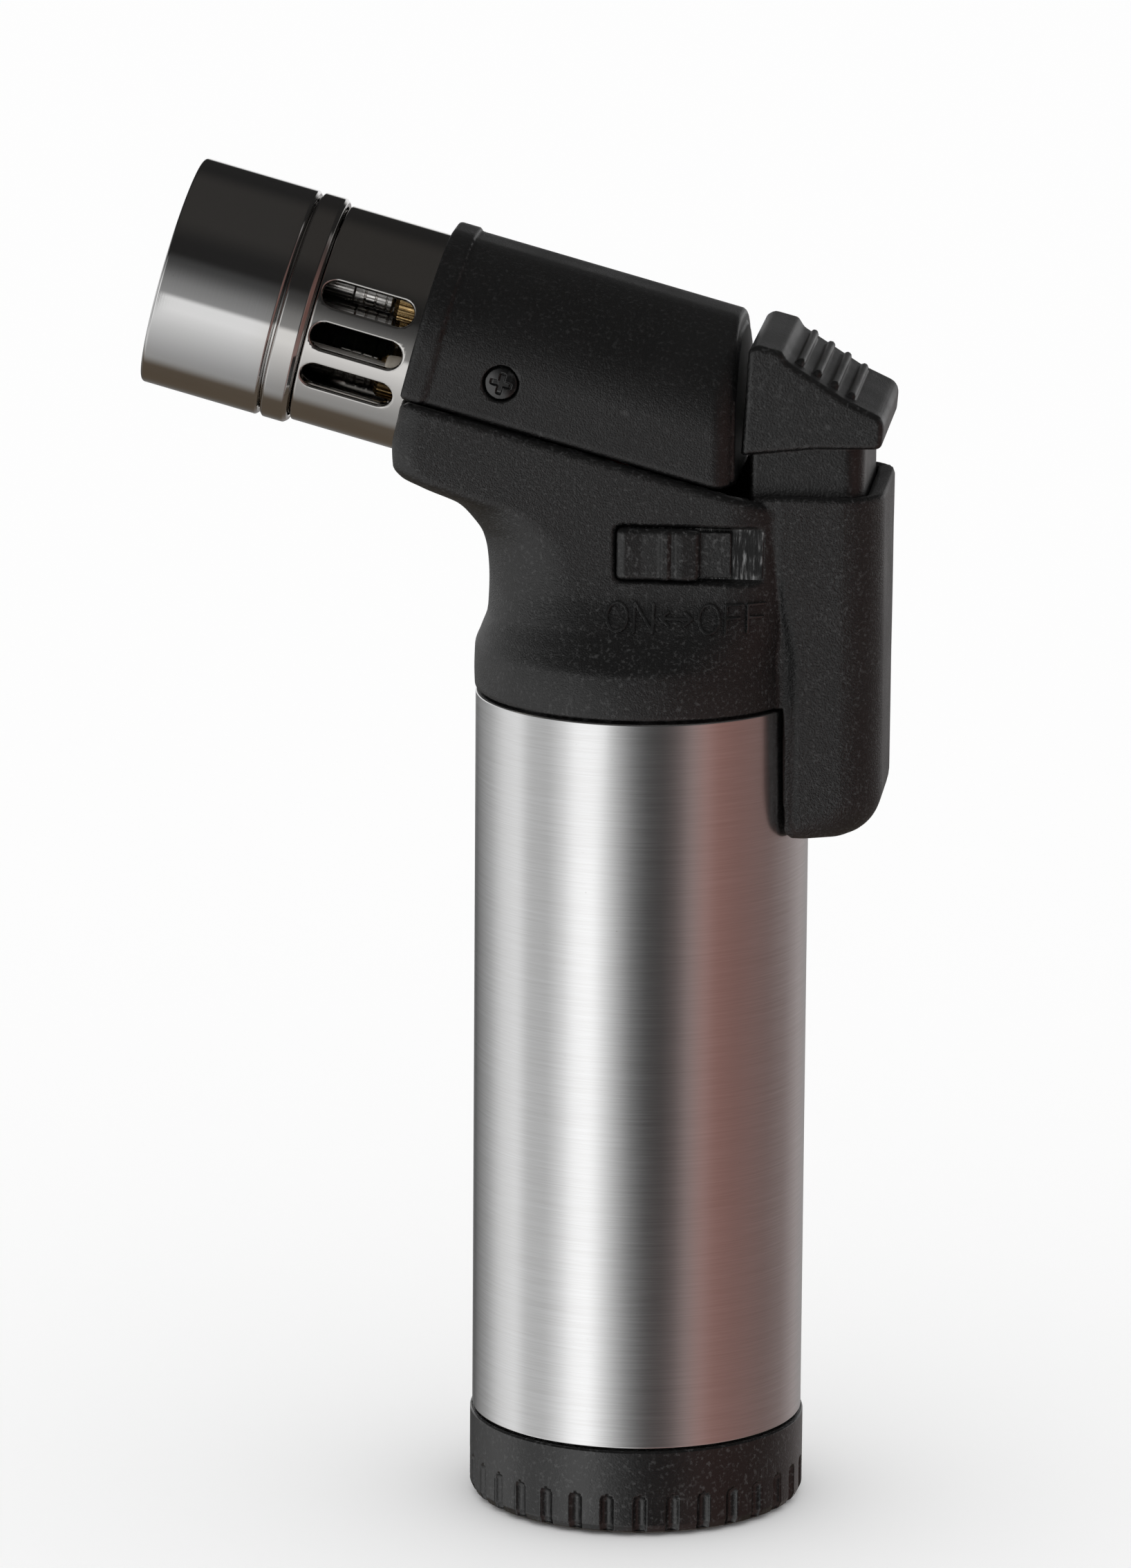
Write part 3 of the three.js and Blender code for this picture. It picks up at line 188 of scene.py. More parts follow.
def rounded_outline(corners, steps=6):
    """Corners (u, v, radius) turned into points and outward normals. Each corner becomes an arc of
    its radius, about the point that lies as far inside both of its sides; a corner that turns
    inwards has its arc on the other side."""
    flat = np.array([corner[:2] for corner in corners], float)
    behind = np.roll(flat, 1, axis=0)
    around = np.sign(np.sum(behind[:, 0] * flat[:, 1] - flat[:, 0] * behind[:, 1]))
    points, normals = [], []
    for k, corner in enumerate(corners):
        back, ahead = flat[k - 1] - flat[k], flat[(k + 1) % len(flat)] - flat[k]
        back, ahead = back / np.hypot(*back), ahead / np.hypot(*ahead)
        out_back = np.array([-back[1], back[0]]) * around
        out_ahead = np.array([ahead[1], -ahead[0]]) * around
        spread = acos(np.clip(out_back @ out_ahead, -1, 1))
        if spread < 0.02:
            points.append(flat[k])
            normals.append(out_back)
            continue
        side = 1 if (ahead[0] * back[1] - ahead[1] * back[0]) * around > 0 else -1
        radius = corner[2] if len(corner) > 2 else 0.06
        half = (pi - spread) / 2
        middle = (back + ahead) / np.hypot(*(back + ahead))
        centre = flat[k] + middle * radius / sin(half)
        for share in np.linspace(0, 1, steps):
            normal = (out_back * sin((1 - share) * spread)
                      + out_ahead * sin(share * spread)) / sin(spread)
            points.append(centre + normal * radius * side)
            normals.append(normal)
    return np.array(points), np.array(normals)


def read_table(table, at):
    """Columns of a table read at heights of its first column: cubic pieces whose slope at a row is
    the harmonic mean of the slopes on both sides, so that nothing overshoots."""
    rows, columns = table[:, 0], table[:, 1:]
    at = np.clip(at, rows[0], rows[-1])
    slope = np.diff(columns, axis=0) / np.diff(rows)[:, None]
    inner = slope[:-1] * slope[1:]
    middle = np.where(inner > 0, 2 * inner / np.where(inner > 0, slope[:-1] + slope[1:], 1), 0)
    slopes = np.vstack([slope[:1], middle, slope[-1:]])
    k = np.clip(np.searchsorted(rows, at, side="right") - 1, 0, len(rows) - 2)
    span = rows[k + 1] - rows[k]
    t = (at - rows[k]) / span
    first, second = 2 * t**3 - 3 * t**2 + 1, t**3 - 2 * t**2 + t
    third, fourth = 3 * t**2 - 2 * t**3, t**3 - t**2
    return [first * columns[k, c] + second * span * slopes[k, c]
            + third * columns[k + 1, c] + fourth * span * slopes[k + 1, c]
            for c in range(columns.shape[1])]


# Meshes

def net(field, knots, bend=None, wrap=False, reach=0.4, soft=0.05):
    """Points, quads and normals of the surface where the field is zero.

    The field is read on the grid of three knot arrays, bent by the function bend if one is given;
    wrap closes the second axis on itself. A cell that the surface crosses gets one point, the mean
    of the crossings on its twelve edges, which then slides down the field's slope onto the surface
    (p - f g / |g|^2). A grid edge that the surface crosses gets the quad of its four cells."""
    if bend:
        grid = np.array(bend(*np.meshgrid(*knots, indexing="ij")))
        values = field(*grid)
    else:
        grid = np.array(np.meshgrid(*knots, indexing="ij"))
        values = field(*np.meshgrid(*knots, indexing="ij", sparse=True))
    values = np.broadcast_to(values, grid.shape[1:])
    if wrap:
        values = np.concatenate([values, values[:, :1]], axis=1)
        grid = np.concatenate([grid, grid[:, :, :1]], axis=2)
    inside = values < 0
    shape = np.array(inside.shape) - 1
    corners = [(a, b, c) for a in (0, 1) for b in (0, 1) for c in (0, 1)]

    def shifted(array, a, b, c):
        return array[a:shape[0] + a, b:shape[1] + b, c:shape[2] + c]

    filled = sum(shifted(inside, *c).astype(np.int8) for c in corners)
    crossed = (filled > 0) & (filled < 8)
    number = np.full(tuple(shape), -1)
    number[crossed] = np.arange(crossed.sum())
    level = [shifted(values, *c)[crossed] for c in corners]
    place = [np.array([shifted(g, *c)[crossed] for g in grid]) for c in corners]
    total, count = np.zeros(place[0].shape), np.zeros(len(level[0]))
    for a in range(8):
        for b in range(a + 1, 8):
            if sum(x != y for x, y in zip(corners[a], corners[b])) != 1:
                continue
            over = (level[a] < 0) != (level[b] < 0)
            share = np.where(over, level[a] / np.where(over, level[a] - level[b], 1), 0)
            total += np.where(over, place[a] + share * (place[b] - place[a]), 0)
            count += over
    points = total / count

    def slope(at, step):
        rows = []
        for axis in range(3):
            ahead, behind = at.copy(), at.copy()
            ahead[axis] += step
            behind[axis] -= step
            rows.append((field(*ahead) - field(*behind)) / (2 * step))
        return np.array(rows)

    for _ in range(3):
        down = slope(points, 0.01)
        move = field(*points) * down / np.maximum((down**2).sum(0), 0.05)
        length = np.sqrt((move**2).sum(0))
        points = points - move * np.minimum(1, reach / np.maximum(length, 1e-9))
    normals = slope(points, soft)
    normals = normals / np.maximum(np.sqrt((normals**2).sum(0)), 1e-9)

    quads = []
    for axis in range(3):
        others = [(axis + 1) % 3, (axis + 2) % 3]
        low, high = [slice(None)] * 3, [slice(None)] * 3
        low[axis], high[axis] = slice(0, -1), slice(1, None)
        for other in others:
            low[other] = high[other] = slice(1, None if wrap and other == 1 else -1)
        edge = inside[tuple(low)] != inside[tuple(high)]
        at = np.argwhere(edge)
        facing = inside[tuple(low)][edge]
        at[:, others] += 1
        around = []
        for p, q in ((1, 1), (0, 1), (0, 0), (1, 0)):
            cell = at.copy()
            cell[:, others[0]] -= p
            cell[:, others[1]] -= q
            around.append(number[tuple((cell % shape).T)])
        quad = np.array(around).T
        quads.append(np.where(facing[:, None], quad, quad[:, ::-1]))
    return points.T, np.vstack(quads), normals.T


def steps(*stops):
    """Knots that run from stop to stop, given as value, spacing, value, spacing, value."""
    parts = [np.linspace(a, b, max(2, round((b - a) / step) + 1))[:-1]
             for a, step, b in zip(stops[0::2], stops[1::2], stops[2::2])]
    return np.concatenate([*parts, [stops[-1]]])


def finely(points, normals, longest):
    """The same outline with points added along each side that is longer than the longest step."""
    rows = []
    for k in range(len(points)):
        after = (k + 1) % len(points)
        count = ceil(hypot(*(points[after] - points[k])) / longest)
        for share in np.arange(max(1, count)) / max(1, count):
            rows.append(np.concatenate([points[k] + share * (points[after] - points[k]),
                                        normals[k] + share * (normals[after] - normals[k])]))
    rows = np.array(rows)
    return rows[:, :2], rows[:, 2:] / np.hypot(rows[:, 2], rows[:, 3])[:, None]


def turned(corners, segments=96, shift=None, side=1, longest=None):
    """A closed outline of (radius, height, corner radius) carried round the third axis. shift is a
    change of radius for each angle and height, such as a notch, on the side that faces out (1) or
    in (-1); the normals lean by its slopes."""
    points, normals = rounded_outline(corners)
    if longest:
        points, normals = finely(points, normals, longest)
    angle = np.arange(segments) * 2 * np.pi / segments
    a, r = np.meshgrid(angle, points[:, 0], indexing="ij")
    h = np.broadcast_to(points[:, 1], a.shape)
    nr, nh = (np.broadcast_to(n, a.shape) for n in normals.T)
    na = np.zeros(a.shape)
    if shift:
        share = np.clip(nr * side * 2 - 0.4, 0, 1)
        na = -nr * share * (shift(a + 0.001, h) - shift(a - 0.001, h)) / 0.002 / r
        nh = nh - nr * share * (shift(a, h + 0.01) - shift(a, h - 0.01)) / 0.02
        r = r + shift(a, h) * share
    place = np.stack([r * np.cos(a), r * np.sin(a), h], -1).reshape(-1, 3)
    facing = np.stack([nr * np.cos(a) - na * np.sin(a), nr * np.sin(a) + na * np.cos(a), nh], -1)
    facing = facing.reshape(-1, 3) / np.sqrt(nr**2 + na**2 + nh**2).reshape(-1, 1)
    return place, ring_quads(segments, len(points)), facing


def ring_quads(rows, columns, closed=True):
    """Quads of a grid of rows and columns that closes on itself both ways, or only across."""
    i = np.arange(rows if closed else rows - 1)[:, None]
    j = np.arange(columns)[None, :]
    ahead = (i + 1) % rows
    beside = (j + 1) % columns
    corners = [i * columns + j, ahead * columns + j, ahead * columns + beside, i * columns + beside]
    return np.stack([np.broadcast_to(c, (i.size, columns)).ravel() for c in corners], -1)


def swept(path, radius, sides=12, samples=80):
    """A round bar: circles square to a smooth path, closed at both ends by a point. The path is a
    curve whose slope at a given place is half the step between its neighbours."""
    path = np.array(path, float)
    beyond = np.vstack([2 * path[0] - path[1], path, 2 * path[-1] - path[-2]])
    t = np.linspace(0, len(path) - 1, samples)
    k = np.minimum(t.astype(int), len(path) - 2)
    u = (t - k)[:, None]
    a, b, c, d = (beyond[k + n] for n in range(4))
    line = 0.5 * (2 * b + (c - a) * u + (2 * a - 5 * b + 4 * c - d) * u**2
                  + (3 * b - a - 3 * c + d) * u**3)
    along = np.gradient(line, axis=0)
    across = np.cross(along, [0.31, 0.92, 0.24])
    across /= np.linalg.norm(across, axis=1)[:, None]
    other = np.cross(along, across)
    other /= np.linalg.norm(other, axis=1)[:, None]
    angle = (np.arange(sides) * 2 * np.pi / sides)[None, :, None]
    rim = across[:, None] * np.cos(angle) + other[:, None] * np.sin(angle)
    rows = np.concatenate([[0], np.arange(samples), [samples - 1]])
    reach = np.concatenate([[0], np.full(samples, radius), [0]])[:, None, None]
    place = line[rows][:, None] + rim[rows] * reach
    return place.reshape(-1, 3), ring_quads(samples + 2, sides, closed=False), None


def weld(points, quads, normals):
    """Points that share a place become one. A quad that loses a corner is left as a triangle, its
    last corner given twice, and one that loses two is dropped."""
    _, first, same = np.unique(np.round(points, 5), axis=0, return_index=True, return_inverse=True)
    quads = same.reshape(-1)[quads]
    for _ in range(3):
        a, b, c, d = quads.T
        bad = (c != d) & ((a == b) | (b == c) | (d == a))
        quads[bad] = np.roll(quads[bad], 1, axis=1)
    a, b, c, d = quads.T
    sound = (a != b) & (b != c) & (a != c) & (d != a)
    return points[first], quads[sound], None if normals is None else normals[first]


def stood(name, data):
    """A new object in the scene."""
    piece = bpy.data.objects.new(name, data)
    bpy.context.scene.collection.objects.link(piece)
    return piece


def make(name, shape, material, stands_for=(), place=tank_frame, body="body"):
    """A piece from points, quads and normals in millimetres of its frame, with its faces outwards."""
    points, quads, normals = weld(*shape)
    axes, origin = place
    points = (points @ axes + origin + [tank_axis_x, 0, 0]) / 1000
    a, b, c, d = (points[quads[:, k]] for k in range(4))
    volume = (a * np.cross(b, c)).sum() + (a * np.cross(c, d)).sum()
    if volume < 0:
        quads = quads[:, ::-1]
        quads = np.where(quads[:, :1] == quads[:, 1:2], np.roll(quads, 2, axis=1), quads)
    faces = [quad[:3] if quad[2] == quad[3] else quad for quad in quads.tolist()]
    mesh = bpy.data.meshes.new(name)
    mesh.from_pydata(points.tolist(), [], faces, shade_flat=False)
    mesh.validate()
    if normals is not None:
        mesh.normals_split_custom_set_from_vertices((normals @ axes).astype(np.float32))
    mesh.materials.append(material)
    piece = stood(name, mesh)
    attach(piece, body)
    if stands_for:
        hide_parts(*stands_for)
    return piece


# Materials. Object coordinates are metres from the middle of the footprint.

def put(tree, kind, settings=None, **feeds):
    """A node of a kind, its settings, and what each of its sockets takes: a value or an output."""
    made = tree.nodes.new("ShaderNode" + kind)
    for name, value in (settings or {}).items():
        setattr(made, name, value)
    for name, value in feeds.items():
        if name[0] == "_":
            socket = made.inputs[int(name[1:])]
        else:
            socket = made.inputs[name if name in made.inputs else name.replace("_", " ").title()]
        if isinstance(value, bpy.types.NodeSocket):
            tree.links.new(value, socket)
        else:
            socket.default_value = value
    return made


def reckon(operation, *terms):
    """A number worked out from the terms, each a number or an output."""
    tree = next(term.id_data for term in terms if isinstance(term, bpy.types.NodeSocket))
    feeds = {f"_{k}": term for k, term in enumerate(terms)}
    return put(tree, "Math", {"operation": operation}, **feeds).outputs[0]


def times(a, b, plus=None):
    """Two numbers multiplied, and a third added if one is given."""
    return reckon("MULTIPLY", a, b) if plus is None else reckon("MULTIPLY_ADD", a, b, plus)


def span(value, low, high, to_low=0.0, to_high=1.0):
    """The value carried smoothly from one range to another and held at its ends."""
    return put(value.id_data, "MapRange", {"interpolation_type": "SMOOTHSTEP"}, Value=value,
               From_Min=low, From_Max=high, To_Min=to_low, To_Max=to_high).outputs[0]


def tinted(share, first, second):
    """The first colour turned into the second by the share."""
    return put(share.id_data, "Mix", {"data_type": "RGBA"}, _0=share, _6=first, _7=second).outputs[2]


def noise(place, scale, detail=2.0, roughness=0.5):
    return put(place.id_data, "TexNoise", Vector=place, Scale=scale, Detail=detail,
               Roughness=roughness).outputs[0]


def mapped(place, scale=(1, 1, 1), turn=(0, 0, 0), move=(0, 0, 0)):
    return put(place.id_data, "Mapping", Vector=place, Scale=scale, Rotation=turn,
               Location=move).outputs[0]


def parted(place):
    return put(place.id_data, "SeparateXYZ", Vector=place).outputs


def grey(value, warm=0.0):
    return (value * (1 + warm), value, value * (1 - warm), 1)


def rosy(value, warm=0.0):
    return (value * (1 + warm), value * (1 - 0.35 * warm), value * (1 - 0.55 * warm), 1)


def effect(name, **numbers):
    """A node group that takes a place and numbers, each with its usual value. Gives its inputs, and
    a function that adds its outputs, all of them numbers, and hands the group back."""
    tree = bpy.data.node_groups.new(name, "ShaderNodeTree")
    tree.interface.new_socket("Place", in_out="INPUT", socket_type="NodeSocketVector")
    for socket, usual in numbers.items():
        made = tree.interface.new_socket(socket, in_out="INPUT", socket_type="NodeSocketFloat")
        made.default_value = usual

    def done(**outputs):
        for socket in outputs:
            tree.interface.new_socket(socket, in_out="OUTPUT", socket_type="NodeSocketFloat")
        taken = tree.nodes.new("NodeGroupOutput").inputs
        for socket, output in outputs.items():
            tree.links.new(output, taken[socket])
        return tree

    return tree.nodes.new("NodeGroupInput").outputs, done


def moulded_grain():
    """Fine pimples of a spark-eroded mould: noise at the grain's size with rounded cells over it, a
    cloudy shade, and painted glints: a mask where a noise of twice the grain's size is high, for
    paler colour that stands in for light caught on the grain."""
    take, done = effect("moulded_grain", Grain=3300.0)
    place, grain = take["Place"], take["Grain"]
    cells = put(place.id_data, "TexVoronoi", Vector=place, Scale=grain).outputs["Distance"]
    return done(Height=times(cells, -0.5, noise(place, grain, 3.0, 0.6)),
                Shade=span(noise(place, 70.0, 4.0, 0.6), 0.3, 0.7),
                Painted_Glints=span(noise(place, times(grain, 0.5), 2.0, 0.6), 0.52, 0.74))


def handling():
    """Signs of use: fine straight scratches, each the thin line where one of two stretched noises
    passes its middle value, broken up by a cloud, and dust where a fine noise is highest."""
    take, done = effect("handling", Scratches=0.5, Dust=0.3)
    place, lines = take["Place"], []
    for turn, scale in (((0.3, 0.5, 0.4), (1300, 45, 60)), ((1.2, 0.2, 1.9), (50, 1500, 60))):
        off = reckon("SUBTRACT", noise(mapped(place, scale, turn), 1.0, 1.0), 0.5)
        lines.append(span(reckon("ABSOLUTE", off), 0.006, 0.0))
    patchy = span(noise(place, 160.0, 3.0, 0.7), 0.57, 0.68)
    specks = span(noise(place, 4200.0, 1.0), 0.76, 0.83)
    where = span(noise(place, 120.0), 0.35, 0.75)
    return done(Scratch=times(times(reckon("MAXIMUM", *lines), patchy), take["Scratches"]),
                Dust=times(times(specks, where), take["Dust"]))


def lathe_lines():
    """Lines left by polishing round the third axis: a noise drawn out around the axis and very fine
    along it, and a coarser one."""
    take, done = effect("lathe_lines", Fineness=1.0)
    drawn = put(take["Place"].id_data, "VectorMath", {"operation": "SCALE"}, Vector=take["Place"],
                Scale=take["Fineness"]).outputs[0]
    fine = noise(mapped(drawn, (150, 150, 8500)), 1.0, 2.0, 0.6)
    broad = noise(mapped(drawn, (30, 30, 3200)), 1.0, 2.0, 0.6)
    return done(Height=times(broad, 0.2, fine), Tone=times(fine, 0.7, times(broad, 0.3)))


def use(group, place, **numbers):
    return put(place.id_data, "Group", {"node_tree": group}, Place=place, **numbers).outputs


grain_group = moulded_grain()
handling_group = handling()
lathe_group = lathe_lines()


def cleared(owner):
    """The node tree of a material or a world, emptied."""
    owner.use_nodes = True
    owner.node_tree.nodes.clear()
    return owner.node_tree


def start(name, **constants):
    """A material with one Principled shader, the constants on its own sockets. Gives the place on
    the piece, and a function that feeds the shader and hands the material back."""
    material = bpy.data.materials.new(name)
    tree = cleared(material)
    shader = put(tree, "BsdfPrincipled", **constants)
    put(tree, "OutputMaterial", Surface=shader.outputs[0])

    def done(colour, rough, height, strength, distance):
        normal = put(tree, "Bump", Height=height, Strength=strength, Distance=distance).outputs[0]
        for socket, output in (("Base Color", colour), ("Roughness", rough), ("Normal", normal)):
            tree.links.new(output, shader.inputs[socket])
        return material

    return put(tree, "TexCoord").outputs["Object"], done


def plastic(name, base, rough, grain=3300.0, depth=0.35, scratches=0.3, dust=0.3, painted_glint=0.02,
            coarse_from=None):
    """Black moulded plastic: pimpled, cloudy, with painted glints on its grain (paler colour that
    stands in for light caught on it), scratches and dust. It is coarser behind a place along x, if
    one is given."""
    place, done = start(name, **{"Specular IOR Level": 0.85})
    surface = use(grain_group, place, Grain=grain)
    worn = use(handling_group, place, Scratches=scratches, Dust=dust)
    colour = tinted(surface["Shade"], grey(base * 0.75), grey(base * 1.3))
    # Painted glints: the colour is lifted towards a pale grey where the grain would catch the light.
    colour = tinted(surface["Painted_Glints"], colour, grey(painted_glint))
    colour = tinted(reckon("MAXIMUM", worn["Scratch"], worn["Dust"]), colour, grey(0.09))
    height = surface["Height"]
    if coarse_from:
        rear = span(parted(place)[0], coarse_from, coarse_from + 0.001)
        height = times(times(rear, 2.2), noise(place, grain * 0.8, 2.0, 0.6), height)
    return done(colour, times(surface["Shade"], 0.12, rough - 0.06), height, depth, 0.00016)


def scuffed():
    """The floor that the lock rubs: dark, with pale streaks drawn up and down it."""
    place, done = start("scuffed_gloss")
    streaks = noise(mapped(place, (3200, 3200, 260)), 1.0, 3.0, 0.7)
    patchy = span(noise(place, 700.0, 3.0, 0.6), 0.35, 0.65)
    colour = tinted(times(span(streaks, 0.46, 0.66), patchy), grey(0.006), grey(0.22))
    return done(colour, span(streaks, 0.3, 0.8, 0.16, 0.4), streaks, 0.3, 0.00008)


def brushed_tank():
    """Satin aluminium polished round the tank, with small nicks and a little grease."""
    place, done = start("brushed_tank", Metallic=1.0)
    lines = use(lathe_group, place, Fineness=1.0)
    worn = use(handling_group, place, Scratches=0.5, Dust=0.6)
    tone = span(lines["Tone"], 0.25, 0.75)
    colour = tinted(tone, grey(0.84, 0.004), grey(0.95, -0.004))
    greasy = span(noise(mapped(place, (1, 1, 0.45)), 55.0, 4.0, 0.6), 0.35, 0.75)
    height = times(worn["Dust"], -5.0, times(worn["Scratch"], -1.2, lines["Height"]))
    return done(tinted(worn["Dust"], colour, grey(0.30, 0.1)),
                times(tone, 0.03, times(greasy, 0.04, 0.165)), height, 0.05, 0.00002)


def smoky_chrome():
    """Dark plated chrome, browned by heat towards the flame, and browner and darker along its lower
    side, with fine runs and polishing lines."""
    place, done = start("smoky_chrome", Metallic=1.0)
    turned_place = mapped(mapped(place, move=(-tank_axis_x / 1000, 0, -nozzle_height / 1000)),
                          turn=(0, pi / 2 - nozzle_tilt, 0))
    lines = use(lathe_group, turned_place, Fineness=0.5)
    worn = use(handling_group, place, Scratches=0.5, Dust=0.4)
    up, _, along = parted(turned_place)
    cloud = noise(mapped(turned_place, (160, 160, 60)), 1.0, 5.0, 0.65)
    # Browning: browner and darker along the lower side, and browned by heat towards the flame.
    under = span(times(cloud, 0.004, up), -0.0045, -0.0105)
    behind = span(times(cloud, 0.006, along), 0.0475, 0.0425)
    browning = times(reckon("MAXIMUM", under, times(behind, 0.35)), 0.7)
    colour = tinted(browning, grey(0.66, 0.006), (0.46, 0.41, 0.34, 1))
    return done(tinted(worn["Dust"], colour, grey(0.20, 0.2)),
                times(worn["Scratch"], 0.15, times(browning, 0.05, 0.055)), lines["Height"], 0.03, 0.00003)


def metal(name, colour, rough, stain=0.3, fine=2400.0):
    """Small turned or pressed metal: cloudy stain, soft scratches and a faint grain."""
    place, done = start(name, Metallic=1.0)
    worn = use(handling_group, place, Scratches=0.6, Dust=0.3)
    cloud = span(noise(place, 420.0, 5.0, 0.65), 0.35, 0.7)
    shade = tinted(cloud, (*colour, 1), (*(c * (1 - stain) for c in colour), 1))
    shade = tinted(worn["Scratch"], shade, grey(0.85))
    return done(shade, times(cloud, 0.16, rough), noise(place, fine, 3.0), 0.12, 0.00005)


def matt(name, colour, rough, grain, depth, stain):
    """Ceramic, rubber or carrier plastic: a cloudy colour over a soft grain."""
    place, done = start(name)
    cloud = span(noise(place, 340.0, 5.0, 0.6), 0.3, 0.75)
    return done(tinted(cloud, (*colour, 1), (*stain, 1)), times(cloud, 0.15, rough),
                noise(place, grain, 4.0, 0.6), depth, 0.00012)


# painted_glint is the pale grey of each plastic's painted glints, which stand in for light caught on
# its grain.
neck_black = plastic("neck_black", 0.0022, 0.46, grain=5200.0, depth=0.50, painted_glint=0.030,
                     coarse_from=(tank_axis_x + 15.8) / 1000)
cover_black = plastic("cover_black", 0.0015, 0.44, grain=5200.0, depth=0.40, painted_glint=0.014)
button_black = plastic("button_black", 0.0018, 0.42, grain=4200.0, scratches=0.4)
lock_black = plastic("lock_black", 0.0022, 0.44, grain=4200.0, depth=0.30, scratches=0.4, painted_glint=0.04)
dial_black = plastic("dial_black", 0.0030, 0.27, grain=4200.0, depth=0.16, scratches=0.5, dust=0.4,
                     painted_glint=0.035)
screw_black = plastic("screw_black", 0.0030, 0.08, grain=1500.0, depth=0.04)
# The legend's strokes are the neck's black plastic, painted lighter to stand in for the highlights
# along their raised edges.
legend_painted_highlight = plastic("legend_painted_highlight", 0.0080, 0.22, grain=2600.0, depth=0.15)
scuffed_gloss = scuffed()
tank_metal = brushed_tank()
chrome = smoky_chrome()
steel = metal("bright_steel", (0.80, 0.78, 0.75), 0.16)
wire_steel = metal("wire_steel", (0.90, 0.87, 0.82), 0.34, stain=0.1)
blued_steel = metal("blued_steel", (0.40, 0.38, 0.37), 0.20, stain=0.5)
brass = metal("turned_brass", (0.86, 0.60, 0.28), 0.18, stain=0.4)
ceramic = matt("ceramic", (0.62, 0.57, 0.49), 0.55, 1800.0, 0.5, (0.34, 0.28, 0.22))
rubber = matt("rubber", (0.02, 0.02, 0.02), 0.7, 2600.0, 0.3, (0.045, 0.043, 0.04))
carrier = matt("carrier_plastic", (0.035, 0.035, 0.037), 0.45, 2400.0, 0.2, (0.06, 0.06, 0.06))
pale_plastic = matt("pale_plastic", (0.62, 0.61, 0.56), 0.4, 2200.0, 0.15, (0.50, 0.48, 0.42))
tank_plastic = matt("tank_plastic", (0.42, 0.43, 0.42), 0.3, 1800.0, 0.1, (0.33, 0.33, 0.31))
sheath = matt("wire_sheath", (0.35, 0.03, 0.02), 0.4, 1800.0, 0.15, (0.24, 0.02, 0.015))


# Neck: height over its foot, reach to the front, the rear and the sides, and the radius of its
# corners at the front and at the rear
neck_rows = np.array([
    [0, 19.1, 19.1, 19.1, 19.1, 19.1],
    [2.4, 19.17, 19.17, 19.17, 19.17, 19.17],
    [4.8, 19.1, 19.1, 19.0, 19.0, 19.0],
    [7.0, 18.3, 18.6, 17.2, 16.0, 15.0],
    [9.6, 17.4, 18.4, 15.3, 13.0, 11.0],
    [13.4, 17.2, 18.4, 14.0, 11.0, 8.5],
    [16.4, 17.4, 18.4, 13.85, 10.6, 8.0],
    [18.4, 17.9, 18.4, 13.85, 10.4, 8.0],
    [20.4, 19.2, 18.4, 13.85, 10.0, 8.0],
    [22.1, 20.9, 18.4, 13.85, 9.6, 8.0],
    [24.3, 25.2, 18.4, 13.85, 7.4, 8.0],
    [25.5, 26.7, 18.4, 13.85, 5.0, 8.0],
    [26.9, 27.35, 18.4, 13.85, 3.4, 8.0],
    [29.0, 27.4, 18.4, 13.85, 3.0, 8.0],
    [32.0, 26.85, 18.4, 13.85, 3.0, 8.0],
    [36.0, 26.2, 18.4, 13.85, 3.0, 8.0]])


def neck_plan(x, y, z):
    """A rounded rectangle at each height, its reach and corners read from the rows."""
    front, rear, sides, round_front, round_rear = read_table(neck_rows, z - neck_bottom)
    middle = (rear - front) / 2
    radius = np.where(x > middle, round_rear, round_front)
    return plate_field(x - middle, y, (front + rear) / 2, sides, radius)


def along_nozzle(x, z):
    """The m and s of a place in the tank's frame."""
    rise = z - nozzle_height
    m = x * sin(nozzle_tilt) + rise * cos(nozzle_tilt)
    return m, rise * sin(nozzle_tilt) - x * cos(nozzle_tilt)


def nozzle_bore(m, y, s):
    """The bore that the vent sleeve stands in."""
    return meet(np.hypot(m, y) - nozzle_bore_radius, nozzle_bore_start - s)


def rear_housing(x, side, z):
    """A block behind the neck that widens upwards, with a raised pad behind a sloping crease."""
    lean = np.clip((z - housing_bottom) / (housing_top - housing_bottom), 0, 1)
    half = 10.4 + 1.9 * lean**1.5
    front = 18.4 - 3.6 * np.clip((z - 101) / 18, 0, 1)
    back = meet(x - housing_back, housing_bottom - z, 5.6)
    round_side = 2.4 + 2.6 * np.clip((x - 19) / 5, 0, 1)
    outside = meet(side - half, back, round_side)
    slope = ((side - half) * 1.1 + (front - x) * 0.9) / hypot(1.1, 0.9)
    pad = meet(outside, meet(slope, housing_bottom - z, 2.5), 0.25)
    core = meet(meet(side - half + 0.9, back, round_side - 0.9), 12 - x, 0.4)
    block = meet(join(pad, core, 0.2), z - housing_top, 0.6)
    round_tank = meet(np.hypot(x, side) - 19.35, z - neck_bottom)
    return cut(block, round_tank, 0.3)


